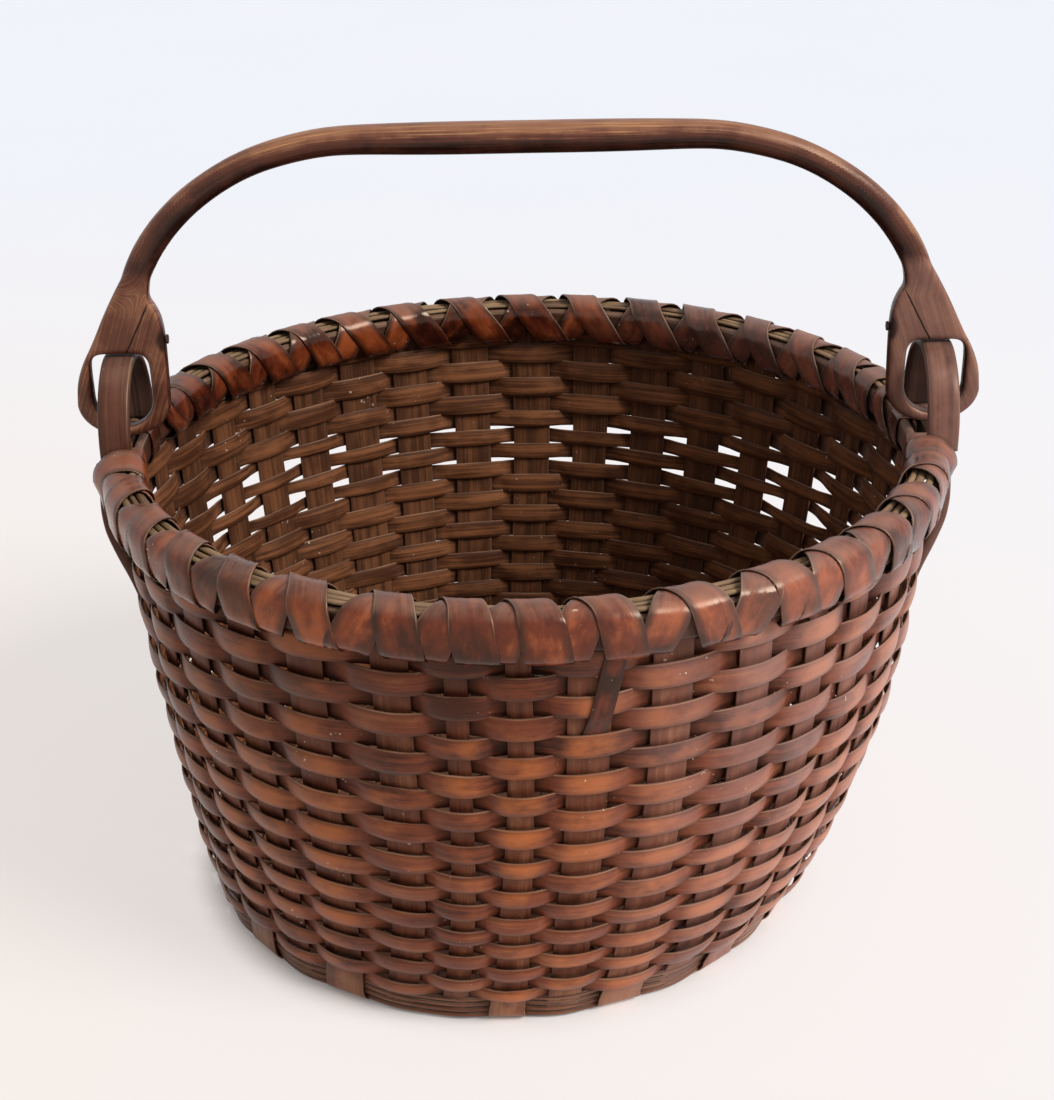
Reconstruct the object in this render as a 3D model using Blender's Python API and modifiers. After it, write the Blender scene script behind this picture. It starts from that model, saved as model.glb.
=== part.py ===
"""A round splint basket with a swing handle, as separate pieces.

The origin is on the floor, plumb below the middle of the rim. X runs from ear to ear, Z is up.
Spokes cross under the bottom in two sets and turn up as the wall's uprights, one set outside and
one inside the narrow rounds at the foot. Spiral weavers pass over and under the uprights. Two
hoops hold the uprights' tops, and two passes of lashing bind them. The handle's eyes link with
the two ears, and it swings about the line through the eyes' lower bends.
"""

import math

import bmesh
import bpy
from mathutils import Vector

MM = 0.001

# Wall
UPRIGHTS = 35
FIRST_UPRIGHT_ANGLE = math.radians(-89.0)
RIM_RADIUS = 215.0 * MM
RIM_SHIFT = -2.5 * MM
RIM_HEIGHT = 253.8 * MM
WALL_INSET = 2.4 * MM
FOOT_RADIUS = 170.5 * MM
FOOT_HEIGHT = 9.0 * MM
FOOT_CORNER_RUN = 8.0 * MM
WALL_CURVE_SHARE = 1.95
BASE_SHIFT = -17.5 * MM
BASE_SHIFT_CURVE_SHARE = 3.3

# Spokes and their uprights
SPLINT_THICKNESS = 1.0 * MM
UPRIGHT_WIDTH = 17.0 * MM
OUTER_FOOT_WIDTH = 17.0 * MM
INNER_FOOT_WIDTH = 15.5 * MM
SPOKE_MID_WIDTH = 13.0 * MM
HUB_WIDTH = 9.0 * MM
STACK_GAP = 0.15 * MM
HUB_RADIUS = 40.0 * MM
HUB_STEP = 4.0 * MM
OUTER_SLOPE_RUN = 22.0 * MM
INNER_SLOPE_RUN = 34.0 * MM
OUTER_SHORT_REACH = 52.0 * MM
INNER_SHORT_REACH = 76.0 * MM
WALL_STEPS = 8
CORNER_STEPS = 4

# Woven bottom between the two sets of spokes
CLEARANCE = 0.3 * MM
BOTTOM_THICKNESS = 2.8 * MM
BOTTOM_HOLE_GAP = 3.0 * MM
BOTTOM_EDGE_INSET = 2.0 * MM

# Weavers
WEAVER_LENGTHS = 7
ROUNDS_PER_LENGTH = 3
WEAVER_THICKNESS = 1.1 * MM
WEAVE_FOOT_GAP = 0.9 * MM
WEAVE_RIM_GAP = 3.9 * MM
WEAVE_SPREAD_SHARE = 0.14
WEAVER_WIDTH_SHARE = 0.86
WEAVE_OUT = 3.9 * MM
WEAVE_IN = 2.3 * MM
SPLICE_GAP = 1.0 * MM

# Narrow rounds at the foot
FOOT_ROUNDS = 3
FOOT_ROUND_WIDTH = 3.6 * MM
FOOT_ROUND_PITCH = 4.8 * MM
FOOT_ROUND_START = 5.9 * MM
FOOT_ROUND_OUT = 2.3 * MM
FOOT_ROUND_IN = 1.9 * MM
FOOT_EDGE_SHARE = 0.29

# Rim bundle, measured from the rim's middle line
HOOP_BOTTOM = -9.0 * MM
HOOP_TOP = 7.0 * MM
OUTER_HOOP_IN = 1.5 * MM
OUTER_HOOP_OUT = 8.0 * MM
INNER_HOOP_IN = -10.0 * MM
INNER_HOOP_OUT = -4.0 * MM
HOOP_STEPS = 70
UPRIGHT_TOP = 6.0 * MM
FILLER_HEIGHT = 3.0 * MM
FILLER_WIDTH = 4.4 * MM
FILLER_SPACING = 6.4 * MM
FILLER_MIDDLE = -1.0 * MM
FILLER_STEPS = 24

# Lashing
LASH_WIDTH = 12.0 * MM
LASH_THICKNESS = 1.1 * MM
LASH_SIDE_GAP = 1.65 * MM
LASH_TOP_GAP = 0.85 * MM
LASH_BOTTOM_GAP = 2.95 * MM
LASH_CHAMFER = 3.5 * MM
LASH_CHAMFER_RISE = 4.5 * MM
LASH_PASS_STEP = 1.45 * MM
CORNER_SHIFT_SHARE = 0.414

# Handle, its eyes and the ears
HINGE_STANDOFF = 1.5 * MM
EYE_HALF_WIDTH = 24.8 * MM
EYE_HOLE_HALF_WIDTH = 15.6 * MM
EYE_DEPTH = 10.0 * MM
EYE_BEND = 6.0 * MM
HINGE_CLEARANCE = 0.6 * MM
EAR_HALF_LENGTH = 34.5 * MM
EAR_RISE = 40.0 * MM
EAR_WIDTH = 17.0 * MM
EAR_THICKNESS = 5.0 * MM
EAR_CLEARANCE = 0.8 * MM
EAR_LASH_GAP = 0.9 * MM
EAR_STEPS = 12
TAIL_WIDTH = 5.0 * MM
TAIL_DEPTH = 4.9 * MM
TAIL_IN = -1.3 * MM
TAIL_LOW_THICKNESS = 2.5 * MM
TAIL_END_WIDTH = 3.0 * MM
TAIL_LENGTH = 72.0 * MM
SHOULDER_GAP = 0.6 * MM
NOTCH_CLEARANCE = 0.4 * MM

GRIP_HEIGHT = 422.2 * MM
GRIP_HALF_LENGTH = 95.0 * MM
ARM_END_INSET = 13.0 * MM
ARM_END_RISE = 40.8 * MM
GRIP_THICKNESS = 16.6 * MM
GRIP_DEPTH = 18.0 * MM
GRIP_END_THICKNESS = 14.8 * MM
GRIP_END_DEPTH = 14.5 * MM
ARM_THICKNESS = 13.6 * MM
ARM_DEPTH = 12.4 * MM
ARM_END_THICKNESS = 14.0 * MM
ARM_END_DEPTH = 11.2 * MM
TENON_THICKNESS = 9.0 * MM
TENON_DEPTH = 9.0 * MM
WEB_RISE = 49.5 * MM
WEB_TOP_OUTER_INSET = 9.8 * MM
STICK_SIDES = 10
EYE_STEPS = 10
EYE_HOLE_STEPS = 8
NAIL_HEIGHT_SHARE = 0.15
NAIL_SHANK = 2.2 * MM
NAIL_HEAD = 5.0 * MM
NAIL_HEAD_THICKNESS = 1.2 * MM
NAIL_LENGTH = 17.0 * MM
NAIL_CLEARANCE = 0.35 * MM
NAIL_SIDES = 8
CUTTER_OVERRUN = 3.0 * MM

# Meshes
TURN_MERGE_DISTANCE = 0.1 * MM
WELD_DISTANCE = 0.01 * MM
SHARP_ANGLE = math.radians(40.0)

# Shares along an arm from the end of the grip, across and down
ARM_PATH_SHARES = (
    (0.0, 0.0), (0.12, 0.022), (0.212, 0.055), (0.301, 0.087), (0.39, 0.129), (0.476, 0.187),
    (0.567, 0.267), (0.653, 0.354), (0.742, 0.458), (0.829, 0.592), (0.917, 0.765), (1.0, 1.0),
)
# Shares up the web from the eye's side to its top, and across from the eye's edge to the arm's edge
WEB_OUTER_SHARES = (
    (0.0, 0.0), (0.15, 0.04), (0.29, 0.15), (0.44, 0.33), (0.69, 0.61), (0.93, 0.9), (1.0, 1.0),
)
# The same, but across as shares of half the eye's width
WEB_INNER_SHARES = (
    (0.0, 0.0), (0.3, -0.02), (0.47, -0.02), (0.6, 0.02), (0.69, 0.12), (0.755, 0.225),
    (0.83, 0.21), (0.9, 0.155), (1.0, 0.02),
)

# Worked out from the sizes above
SPACING_ANGLE = 2.0 * math.pi / UPRIGHTS
WALL_TOP_RADIUS = RIM_RADIUS - WALL_INSET
OUTER_SPOKE_HEIGHT = SPLINT_THICKNESS / 2.0
BOTTOM_LOW = SPLINT_THICKNESS + CLEARANCE
INNER_SPOKE_HEIGHT = BOTTOM_LOW + BOTTOM_THICKNESS + CLEARANCE + SPLINT_THICKNESS / 2.0
STACK_STEP = SPLINT_THICKNESS + STACK_GAP
OUTER_SPOKES = (UPRIGHTS - 1) // 4
INNER_SPOKES = (UPRIGHTS - 1) // 4
FOOT_INNER_RADIUS = FOOT_RADIUS - FOOT_CORNER_RUN
OUTER_HUB_RADIUS = HUB_RADIUS
OUTER_SLOPE_RADIUS = OUTER_HUB_RADIUS + OUTER_SLOPE_RUN
INNER_HUB_RADIUS = HUB_RADIUS + HUB_STEP
INNER_SLOPE_RADIUS = INNER_HUB_RADIUS + INNER_SLOPE_RUN
OUTER_SHORT_RADIUS = FOOT_INNER_RADIUS - OUTER_SHORT_REACH
INNER_SHORT_RADIUS = FOOT_INNER_RADIUS - INNER_SHORT_REACH
BOTTOM_HOLE_RADIUS = OUTER_SLOPE_RADIUS + BOTTOM_HOLE_GAP
BOTTOM_RADIUS = FOOT_INNER_RADIUS - BOTTOM_EDGE_INSET
FILLER_LOW = RIM_HEIGHT + HOOP_TOP + CLEARANCE
LASH_TOP = HOOP_TOP + CLEARANCE + FILLER_HEIGHT + LASH_TOP_GAP + LASH_THICKNESS / 2.0
LASH_BOTTOM = HOOP_BOTTOM - LASH_BOTTOM_GAP - LASH_THICKNESS / 2.0
LASH_OUT = OUTER_HOOP_OUT + LASH_SIDE_GAP + LASH_THICKNESS / 2.0
LASH_IN = INNER_HOOP_IN - LASH_SIDE_GAP - LASH_THICKNESS / 2.0
ROUNDS = WEAVER_LENGTHS * ROUNDS_PER_LENGTH
FOOT_ROUNDS_TOP = FOOT_ROUND_START + (FOOT_ROUNDS - 1) * FOOT_ROUND_PITCH + FOOT_ROUND_WIDTH / 2.0
WEAVE_LOW_EDGE = FOOT_ROUNDS_TOP + WEAVE_FOOT_GAP
WEAVE_TOP_EDGE = RIM_HEIGHT + LASH_BOTTOM - LASH_PASS_STEP - LASH_THICKNESS / 2.0 - WEAVE_RIM_GAP
MEAN_PITCH = (WEAVE_TOP_EDGE - WEAVE_LOW_EDGE) / (ROUNDS + WEAVER_WIDTH_SHARE)
WEAVE_START_HEIGHT = WEAVE_LOW_EDGE + MEAN_PITCH * WEAVER_WIDTH_SHARE * (1.0 - WEAVE_SPREAD_SHARE) / 2.0
WEAVE_END_HEIGHT = WEAVE_TOP_EDGE - MEAN_PITCH * WEAVER_WIDTH_SHARE * (1.0 + WEAVE_SPREAD_SHARE) / 2.0
HINGE_RADIUS = RIM_RADIUS + HINGE_STANDOFF
HINGE_HEIGHT = RIM_HEIGHT + HOOP_TOP + math.hypot(EYE_DEPTH, EYE_BEND) / 2.0 + HINGE_CLEARANCE
EYE_TOP = HINGE_HEIGHT + EAR_RISE + EAR_THICKNESS / 2.0 + EAR_CLEARANCE
EYE_SIDE_HEIGHT = HINGE_HEIGHT + EYE_HOLE_HALF_WIDTH
ARM_END_X = HINGE_RADIUS - ARM_END_INSET
ARM_END_HEIGHT = EYE_TOP + ARM_END_RISE
WEB_TOP_HEIGHT = EYE_TOP + WEB_RISE
WEB_TOP_OUT = HINGE_RADIUS - WEB_TOP_OUTER_INSET
EAR_ANGLE = math.asin(EAR_HALF_LENGTH / RIM_RADIUS)
EAR_FREE_ANGLE = EAR_ANGLE + ((EAR_THICKNESS + LASH_WIDTH) / 2.0 + EAR_LASH_GAP) / RIM_RADIUS


def make_collection(name):
    """A new collection in the scene."""
    collection = bpy.data.collections.new(name)
    bpy.context.scene.collection.children.link(collection)
    return collection


def make_material(name, colour, roughness, metallic):
    """A plain Principled material."""
    material = bpy.data.materials.new(name)
    material.use_nodes = True
    shader = material.node_tree.nodes["Principled BSDF"]
    shader.inputs["Base Color"].default_value = (*colour, 1.0)
    shader.inputs["Roughness"].default_value = roughness
    shader.inputs["Metallic"].default_value = metallic
    return material


def add_mesh(name, vertices, faces, material, collection):
    """An object with this mesh, in the collection."""
    mesh = bpy.data.meshes.new(name)
    mesh.from_pydata([tuple(vertex) for vertex in vertices], [], faces)
    mesh.validate()
    if material:
        mesh.materials.append(material)
    thing = bpy.data.objects.new(name, mesh)
    collection.objects.link(thing)
    return thing


def ribbon(name, centres, half_widths, thickness, material, collection, closed=False):
    """A splint: an open strip along these centres, thickened by Solidify."""
    vertices = []
    for centre, half_width in zip(centres, half_widths):
        vertices.append(centre - half_width)
        vertices.append(centre + half_width)
    count = len(centres)
    faces = []
    for step in range(count if closed else count - 1):
        here = 2 * step
        there = 2 * ((step + 1) % count)
        faces.append((here, there, there + 1, here + 1))
    thing = add_mesh(name, vertices, faces, material, collection)
    solidify = thing.modifiers.new("Thickness", "SOLIDIFY")
    solidify.thickness = thickness
    solidify.offset = 0.0
    solidify.use_even_offset = True
    return thing


def loft(name, rings, material, collection, smooth=True):
    """A closed solid through rings with the same number of points each."""
    sides = len(rings[0])
    vertices = [point for ring in rings for point in ring]
    faces = []
    for step in range(len(rings) - 1):
        for side in range(sides):
            here = step * sides + side
            beside = step * sides + (side + 1) % sides
            faces.append((here, beside, beside + sides, here + sides))
    faces.append(tuple(reversed(range(sides))))
    faces.append(tuple(range(len(vertices) - sides, len(vertices))))
    thing = add_mesh(name, vertices, faces, material, collection)
    shape = bmesh.new()
    shape.from_mesh(thing.data)
    bmesh.ops.recalc_face_normals(shape, faces=shape.faces)
    shape.to_mesh(thing.data)
    shape.free()
    if smooth:
        thing.data.shade_smooth()
        thing.data.set_sharp_from_angle(angle=SHARP_ANGLE)
    return thing


def turned_ring(name, section, centre, steps, material, collection):
    """A ring whose section, listed clockwise from its outer top, is turned about Z."""
    vertices = [Vector((radius, 0.0, height)) for radius, height in section]
    thing = add_mesh(name, vertices, [], material, collection)
    shape = bmesh.new()
    points = [shape.verts.new(vertex) for vertex in vertices]
    for index, point in enumerate(points):
        shape.edges.new((point, points[(index + 1) % len(points)]))
    shape.to_mesh(thing.data)
    shape.free()
    thing.location = centre
    screw = thing.modifiers.new("Turn", "SCREW")
    screw.axis = "Z"
    screw.steps = steps
    screw.render_steps = steps
    screw.use_merge_vertices = True
    screw.merge_threshold = TURN_MERGE_DISTANCE
    screw.use_smooth_shade = False
    return thing


def rectangle_section(inner, outer, low, high):
    """A ring's section, clockwise from its outer top."""
    return ((outer, high), (outer, low), (inner, low), (inner, high))


def cut(thing, cutter):
    """Take the cutter's shape out of the thing."""
    boolean = thing.modifiers.new("Cut", "BOOLEAN")
    boolean.operation = "DIFFERENCE"
    boolean.solver = "EXACT"
    boolean.object = cutter


def join(thing, addition):
    """Make one body of the thing and the addition."""
    boolean = thing.modifiers.new("Join", "BOOLEAN")
    boolean.operation = "UNION"
    boolean.solver = "EXACT"
    boolean.object = addition


def hide_guide(thing):
    """Cutters and additions are only guides."""
    thing.hide_render = True
    thing.display_type = "WIRE"


def upright_angle(index):
    """Where an upright stands round the rim."""
    return FIRST_UPRIGHT_ANGLE + index * SPACING_ANGLE


def wall_radius(height):
    """The wall's radius at a height: a round foot, then a curve that steepens to the rim."""
    if height < FOOT_HEIGHT:
        sine = (FOOT_HEIGHT - height) / (FOOT_HEIGHT - OUTER_SPOKE_HEIGHT)
        return FOOT_RADIUS - FOOT_CORNER_RUN * (1.0 - math.sqrt(max(0.0, 1.0 - sine * sine)))
    share = min(1.0, (height - FOOT_HEIGHT) / (RIM_HEIGHT - FOOT_HEIGHT))
    return WALL_TOP_RADIUS - (WALL_TOP_RADIUS - FOOT_RADIUS) * (1.0 - share) ** WALL_CURVE_SHARE


def shift_at(height):
    """How far the hand-made basket leans over its base."""
    share = min(1.0, max(0.0, (height - FOOT_HEIGHT) / (RIM_HEIGHT - FOOT_HEIGHT)))
    return RIM_SHIFT + (BASE_SHIFT - RIM_SHIFT) * (1.0 - share) ** BASE_SHIFT_CURVE_SHARE


def wall_point(angle, height):
    """A point in the middle of the wall's thickness."""
    radius = wall_radius(height)
    return Vector((shift_at(height) + radius * math.cos(angle), radius * math.sin(angle), height))


def wall_frame(angle, height):
    """A wall point with its outward, sideways and upward directions."""
    step = SPLINT_THICKNESS
    point = wall_point(angle, height)
    up = (wall_point(angle, height + step) - wall_point(angle, height - step)).normalized()
    side = Vector((-math.sin(angle), math.cos(angle), 0.0))
    out = side.cross(up).normalized()
    return point, out, side, up


def floor_centre(height):
    """The middle of the base at a height."""
    return Vector((shift_at(0.0), 0.0, height))


def upright_run(angle, foot_width, spoke_height):
    """Centres and half widths down one upright, from inside the rim to the base."""
    side = Vector((-math.sin(angle), math.cos(angle), 0.0))
    centres = []
    half_widths = []
    top = RIM_HEIGHT + UPRIGHT_TOP
    for step in range(WALL_STEPS + 1):
        share = step / WALL_STEPS
        height = top + (FOOT_HEIGHT - top) * share
        width = UPRIGHT_WIDTH + (foot_width - UPRIGHT_WIDTH) * share
        centres.append(wall_point(angle, height))
        half_widths.append(side * width / 2.0)
    for step in range(1, CORNER_STEPS + 1):
        turn = math.pi / 2.0 * step / CORNER_STEPS
        radius = FOOT_RADIUS - FOOT_CORNER_RUN * (1.0 - math.cos(turn))
        height = FOOT_HEIGHT - (FOOT_HEIGHT - spoke_height) * math.sin(turn)
        out = Vector((math.cos(angle), math.sin(angle), 0.0))
        centres.append(floor_centre(height) + out * radius)
        half_widths.append(side * foot_width / 2.0)
    return centres, half_widths


def make_spoke(name, first, last, foot_width, spoke_height, hub_height, hub_radius, slope_radius,
               material, collection):
    """A splint that runs down one side, across under the basket and up the other."""
    down, down_widths = upright_run(upright_angle(first), foot_width, spoke_height)
    up, up_widths = upright_run(upright_angle(last), foot_width, spoke_height)
    along = (up[-1] - down[-1]).normalized()
    middle = (up[-1] + down[-1]) / 2.0
    across = Vector((0.0, 0.0, 1.0)).cross(along)
    if across.dot(down_widths[-1]) < 0.0:
        across = -across
    stations = (
        (-slope_radius, spoke_height, SPOKE_MID_WIDTH), (-hub_radius, hub_height, HUB_WIDTH),
        (hub_radius, hub_height, HUB_WIDTH), (slope_radius, spoke_height, SPOKE_MID_WIDTH),
    )
    centres = list(down)
    half_widths = list(down_widths)
    for distance, height, width in stations:
        centres.append(Vector((middle.x, middle.y, height)) + along * distance)
        half_widths.append(across * width / 2.0)
    centres.extend(reversed(up))
    half_widths.extend(-half_width for half_width in reversed(up_widths))
    return ribbon(name, centres, half_widths, SPLINT_THICKNESS, material, collection)


def make_short_spoke(name, index, foot_width, spoke_height, end_radius, material, collection):
    """An upright without a partner, whose splint ends under the basket."""
    angle = upright_angle(index)
    centres, half_widths = upright_run(angle, foot_width, spoke_height)
    out = Vector((math.cos(angle), math.sin(angle), 0.0))
    centres.append(floor_centre(spoke_height) + out * end_radius)
    half_widths.append(half_widths[-1].normalized() * SPOKE_MID_WIDTH / 2.0)
    return ribbon(name, centres, half_widths, SPLINT_THICKNESS, material, collection)


def make_spokes(outer_material, inner_material, collection):
    """Even uprights belong to the lower set, odd ones to the upper set."""
    half_turn = (UPRIGHTS + 1) // 2
    for number in range(OUTER_SPOKES):
        first = 2 * number
        make_spoke(
            f"outer_spoke_{number + 1}", first, first + half_turn, OUTER_FOOT_WIDTH,
            OUTER_SPOKE_HEIGHT, OUTER_SPOKE_HEIGHT + number * STACK_STEP,
            OUTER_HUB_RADIUS, OUTER_SLOPE_RADIUS, outer_material, collection,
        )
    for number in range(INNER_SPOKES):
        first = 2 * number + 1
        make_spoke(
            f"inner_spoke_{number + 1}", first, first + half_turn, INNER_FOOT_WIDTH,
            INNER_SPOKE_HEIGHT, OUTER_SPOKE_HEIGHT + (OUTER_SPOKES + number) * STACK_STEP,
            INNER_HUB_RADIUS, INNER_SLOPE_RADIUS, inner_material, collection,
        )
    for number, index in enumerate((half_turn - 2, UPRIGHTS - 1)):
        make_short_spoke(
            f"outer_short_spoke_{number + 1}", index, OUTER_FOOT_WIDTH, OUTER_SPOKE_HEIGHT,
            OUTER_SHORT_RADIUS, outer_material, collection,
        )
    make_short_spoke("inner_short_spoke", half_turn - 1, INNER_FOOT_WIDTH, INNER_SPOKE_HEIGHT,
                     INNER_SHORT_RADIUS, inner_material, collection)


def make_bottom(material, collection):
    """The woven bottom between the two sets of spokes."""
    section = rectangle_section(
        BOTTOM_HOLE_RADIUS, BOTTOM_RADIUS, BOTTOM_LOW, BOTTOM_LOW + BOTTOM_THICKNESS
    )
    return turned_ring("woven_bottom", section, floor_centre(0.0), UPRIGHTS, material, collection)


def weave_height(crossing):
    """The spiral's height at a crossing, its rounds a little wider towards the rim."""
    share = crossing / (ROUNDS * UPRIGHTS)
    eased = share * (1.0 - WEAVE_SPREAD_SHARE) + WEAVE_SPREAD_SHARE * share * share
    return WEAVE_START_HEIGHT + (WEAVE_END_HEIGHT - WEAVE_START_HEIGHT) * eased


def weaver_width(crossing):
    """A share of the pitch where the weaver is."""
    pitch = weave_height(crossing + UPRIGHTS / 2.0) - weave_height(crossing - UPRIGHTS / 2.0)
    return pitch * WEAVER_WIDTH_SHARE


def crossing_offset(crossing):
    """Over an upright on even crossings, under it on odd ones."""
    return WEAVE_OUT if crossing % 2 == 0 else -WEAVE_IN


def make_weavers(material, collection):
    """One spiral through all the uprights, in lengths that meet behind an upright."""
    crossings = ROUNDS_PER_LENGTH * UPRIGHTS
    for number in range(WEAVER_LENGTHS):
        centres = []
        half_widths = []
        for crossing in range(number * crossings, (number + 1) * crossings + 1):
            point, out, side, up = wall_frame(upright_angle(crossing), weave_height(crossing))
            centres.append(point + out * crossing_offset(crossing))
            half_widths.append(up * weaver_width(crossing) / 2.0)
        shorten_end(centres)
        ribbon(f"weaver_{number + 1}", centres, half_widths, WEAVER_THICKNESS, material, collection)


def shorten_end(centres):
    """Draw both ends back by half the gap between two lengths."""
    for end, inner in ((0, 1), (-1, -2)):
        run = centres[inner] - centres[end]
        centres[end] = centres[end] + run.normalized() * SPLICE_GAP / 2.0


def make_foot_rounds(material, collection):
    """Narrow rounds that pass behind the outer spokes and over the inner ones."""
    for number in range(FOOT_ROUNDS):
        height = FOOT_ROUND_START + number * FOOT_ROUND_PITCH
        centres = []
        half_widths = []
        for index in range(UPRIGHTS):
            offset = -FOOT_ROUND_IN if index % 2 == 0 else FOOT_ROUND_OUT
            for edge_share in (-FOOT_EDGE_SHARE, FOOT_EDGE_SHARE):
                point, out, side, up = wall_frame(upright_angle(index + edge_share), height)
                centres.append(point + out * offset)
                half_widths.append(up * FOOT_ROUND_WIDTH / 2.0)
        ribbon(f"foot_round_{number + 1}", centres, half_widths, WEAVER_THICKNESS, material,
               collection, closed=True)


def make_hoops(material, collection):
    """The two hoops that hold the tops of the uprights."""
    low = RIM_HEIGHT + HOOP_BOTTOM
    high = RIM_HEIGHT + HOOP_TOP
    centre = Vector((RIM_SHIFT, 0.0, 0.0))
    outer = turned_ring(
        "outer_hoop", rectangle_section(RIM_RADIUS + OUTER_HOOP_IN, RIM_RADIUS + OUTER_HOOP_OUT, low, high),
        centre, HOOP_STEPS, material, collection,
    )
    inner = turned_ring(
        "inner_hoop", rectangle_section(RIM_RADIUS + INNER_HOOP_IN, RIM_RADIUS + INNER_HOOP_OUT, low, high),
        centre, HOOP_STEPS, material, collection,
    )
    return outer, inner


def rim_point(angle, out, height):
    """A point by the rim: its distance out from the rim's middle line, and its height."""
    radius = RIM_RADIUS + out
    return Vector((RIM_SHIFT + radius * math.cos(angle), radius * math.sin(angle), height))


def make_fillers(material, collection):
    """Two splints side by side on the hoops, in a front and a rear length between the ears."""
    low = FILLER_LOW
    high = FILLER_LOW + FILLER_HEIGHT
    for side_name, offset in (("inner", -FILLER_SPACING / 2.0), ("outer", FILLER_SPACING / 2.0)):
        middle = FILLER_MIDDLE + offset
        inner = middle - FILLER_WIDTH / 2.0
        outer = middle + FILLER_WIDTH / 2.0
        for half_name, start in (("rear", 0.0), ("front", math.pi)):
            rings = []
            for step in range(FILLER_STEPS + 1):
                share = step / FILLER_STEPS
                angle = start + EAR_FREE_ANGLE + (math.pi - 2.0 * EAR_FREE_ANGLE) * share
                rings.append([
                    rim_point(angle, inner, low), rim_point(angle, outer, low),
                    rim_point(angle, outer, high), rim_point(angle, inner, high),
                ])
            loft(f"{half_name}_{side_name}_filler", rings, material, collection, smooth=False)


def lash_section(lift):
    """The path of one turn round the bundle, from the wall's gap outwards, and each point's share."""
    shift = lift * CORNER_SHIFT_SHARE
    out = LASH_OUT + lift
    inside = LASH_IN - lift
    top = LASH_TOP + lift
    bottom = LASH_BOTTOM - lift
    rise = LASH_CHAMFER_RISE - shift + lift
    run = LASH_CHAMFER - shift + lift
    points = [
        (-WALL_INSET, bottom), (out - run, bottom), (out, bottom + rise), (out, top - rise),
        (out - run, top), (inside + run, top), (inside, top - rise), (inside, bottom + rise),
        (inside + run, bottom),
    ]
    lengths = [0.0]
    for index in range(len(points)):
        here = Vector(points[index])
        there = Vector(points[(index + 1) % len(points)])
        lengths.append(lengths[-1] + (there - here).length)
    return [(point, length / lengths[-1]) for point, length in zip(points, lengths)][1:]


def lash_turns(start):
    """The gaps between uprights that lie in this half of the rim, clear of the ears."""
    first = math.ceil((start + EAR_FREE_ANGLE - upright_angle(0.5)) / SPACING_ANGLE)
    last = math.floor((start + math.pi - EAR_FREE_ANGLE - upright_angle(0.5)) / SPACING_ANGLE)
    return first, last - first


def make_lashing(material_first, material_second, collection):
    """Two passes that slant opposite ways, each in a front and a rear length."""
    passes = (("first", 1.0, 0.0, material_first), ("second", -1.0, LASH_PASS_STEP, material_second))
    for pass_name, direction, lift, material in passes:
        section = lash_section(lift)
        for half_name, start in (("rear", 0.0), ("front", math.pi)):
            first, turns = lash_turns(start)
            begin = first if direction > 0.0 else first + turns
            centres = []
            half_widths = []
            for turn in range(turns):
                for (out, height), share in section:
                    gap = begin + direction * (turn + share)
                    angle = upright_angle(gap + 0.5)
                    side = Vector((-math.sin(angle), math.cos(angle), 0.0))
                    centres.append(rim_point(angle, out, RIM_HEIGHT + height))
                    half_widths.append(side * LASH_WIDTH / 2.0)
            name = f"{half_name}_{pass_name}_lashing"
            report_least_gap(name, centres, len(section))
            ribbon(name, centres, half_widths, LASH_THICKNESS, material, collection)


def report_least_gap(name, centres, points_per_turn):
    """Print the least space between one turn and the next, along the rim."""
    least = min(
        (centres[index + points_per_turn] - centres[index]).length
        for index in range(len(centres) - points_per_turn)
    )
    print(f"{name}: least gap between turns {(least - LASH_WIDTH) / MM:.1f} mm")


def rectangle_ring(centre, across, half_across, through, half_through):
    """Four corners about a centre."""
    return [
        centre - across * half_across - through * half_through,
        centre + across * half_across - through * half_through,
        centre + across * half_across + through * half_through,
        centre - across * half_across + through * half_through,
    ]


def tail_angle(side, lengthwise):
    """Where a tail runs down, round the rim."""
    angle = EAR_ANGLE * lengthwise
    return angle if side > 0.0 else math.pi - angle


def tail_ring(side, lengthwise, out, thickness, width, height):
    """A section of an ear's tail, which lies square to the rim."""
    angle = tail_angle(side, lengthwise)
    across = Vector((math.cos(angle), math.sin(angle), 0.0))
    through = Vector((-math.sin(angle), math.cos(angle), 0.0)) * side
    centre = rim_point(angle, out + thickness / 2.0, height)
    return rectangle_ring(centre, across * side, thickness / 2.0, through, width / 2.0)


def outside_weave(side, lengthwise, height):
    """How far out the weave reaches at the tail, from the rim's middle line."""
    point, out, across, up = wall_frame(tail_angle(side, lengthwise), height)
    reach = point + out * (WEAVE_OUT + WEAVER_THICKNESS / 2.0 + CLEARANCE)
    return math.hypot(reach.x - RIM_SHIFT, reach.y) - RIM_RADIUS


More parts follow.
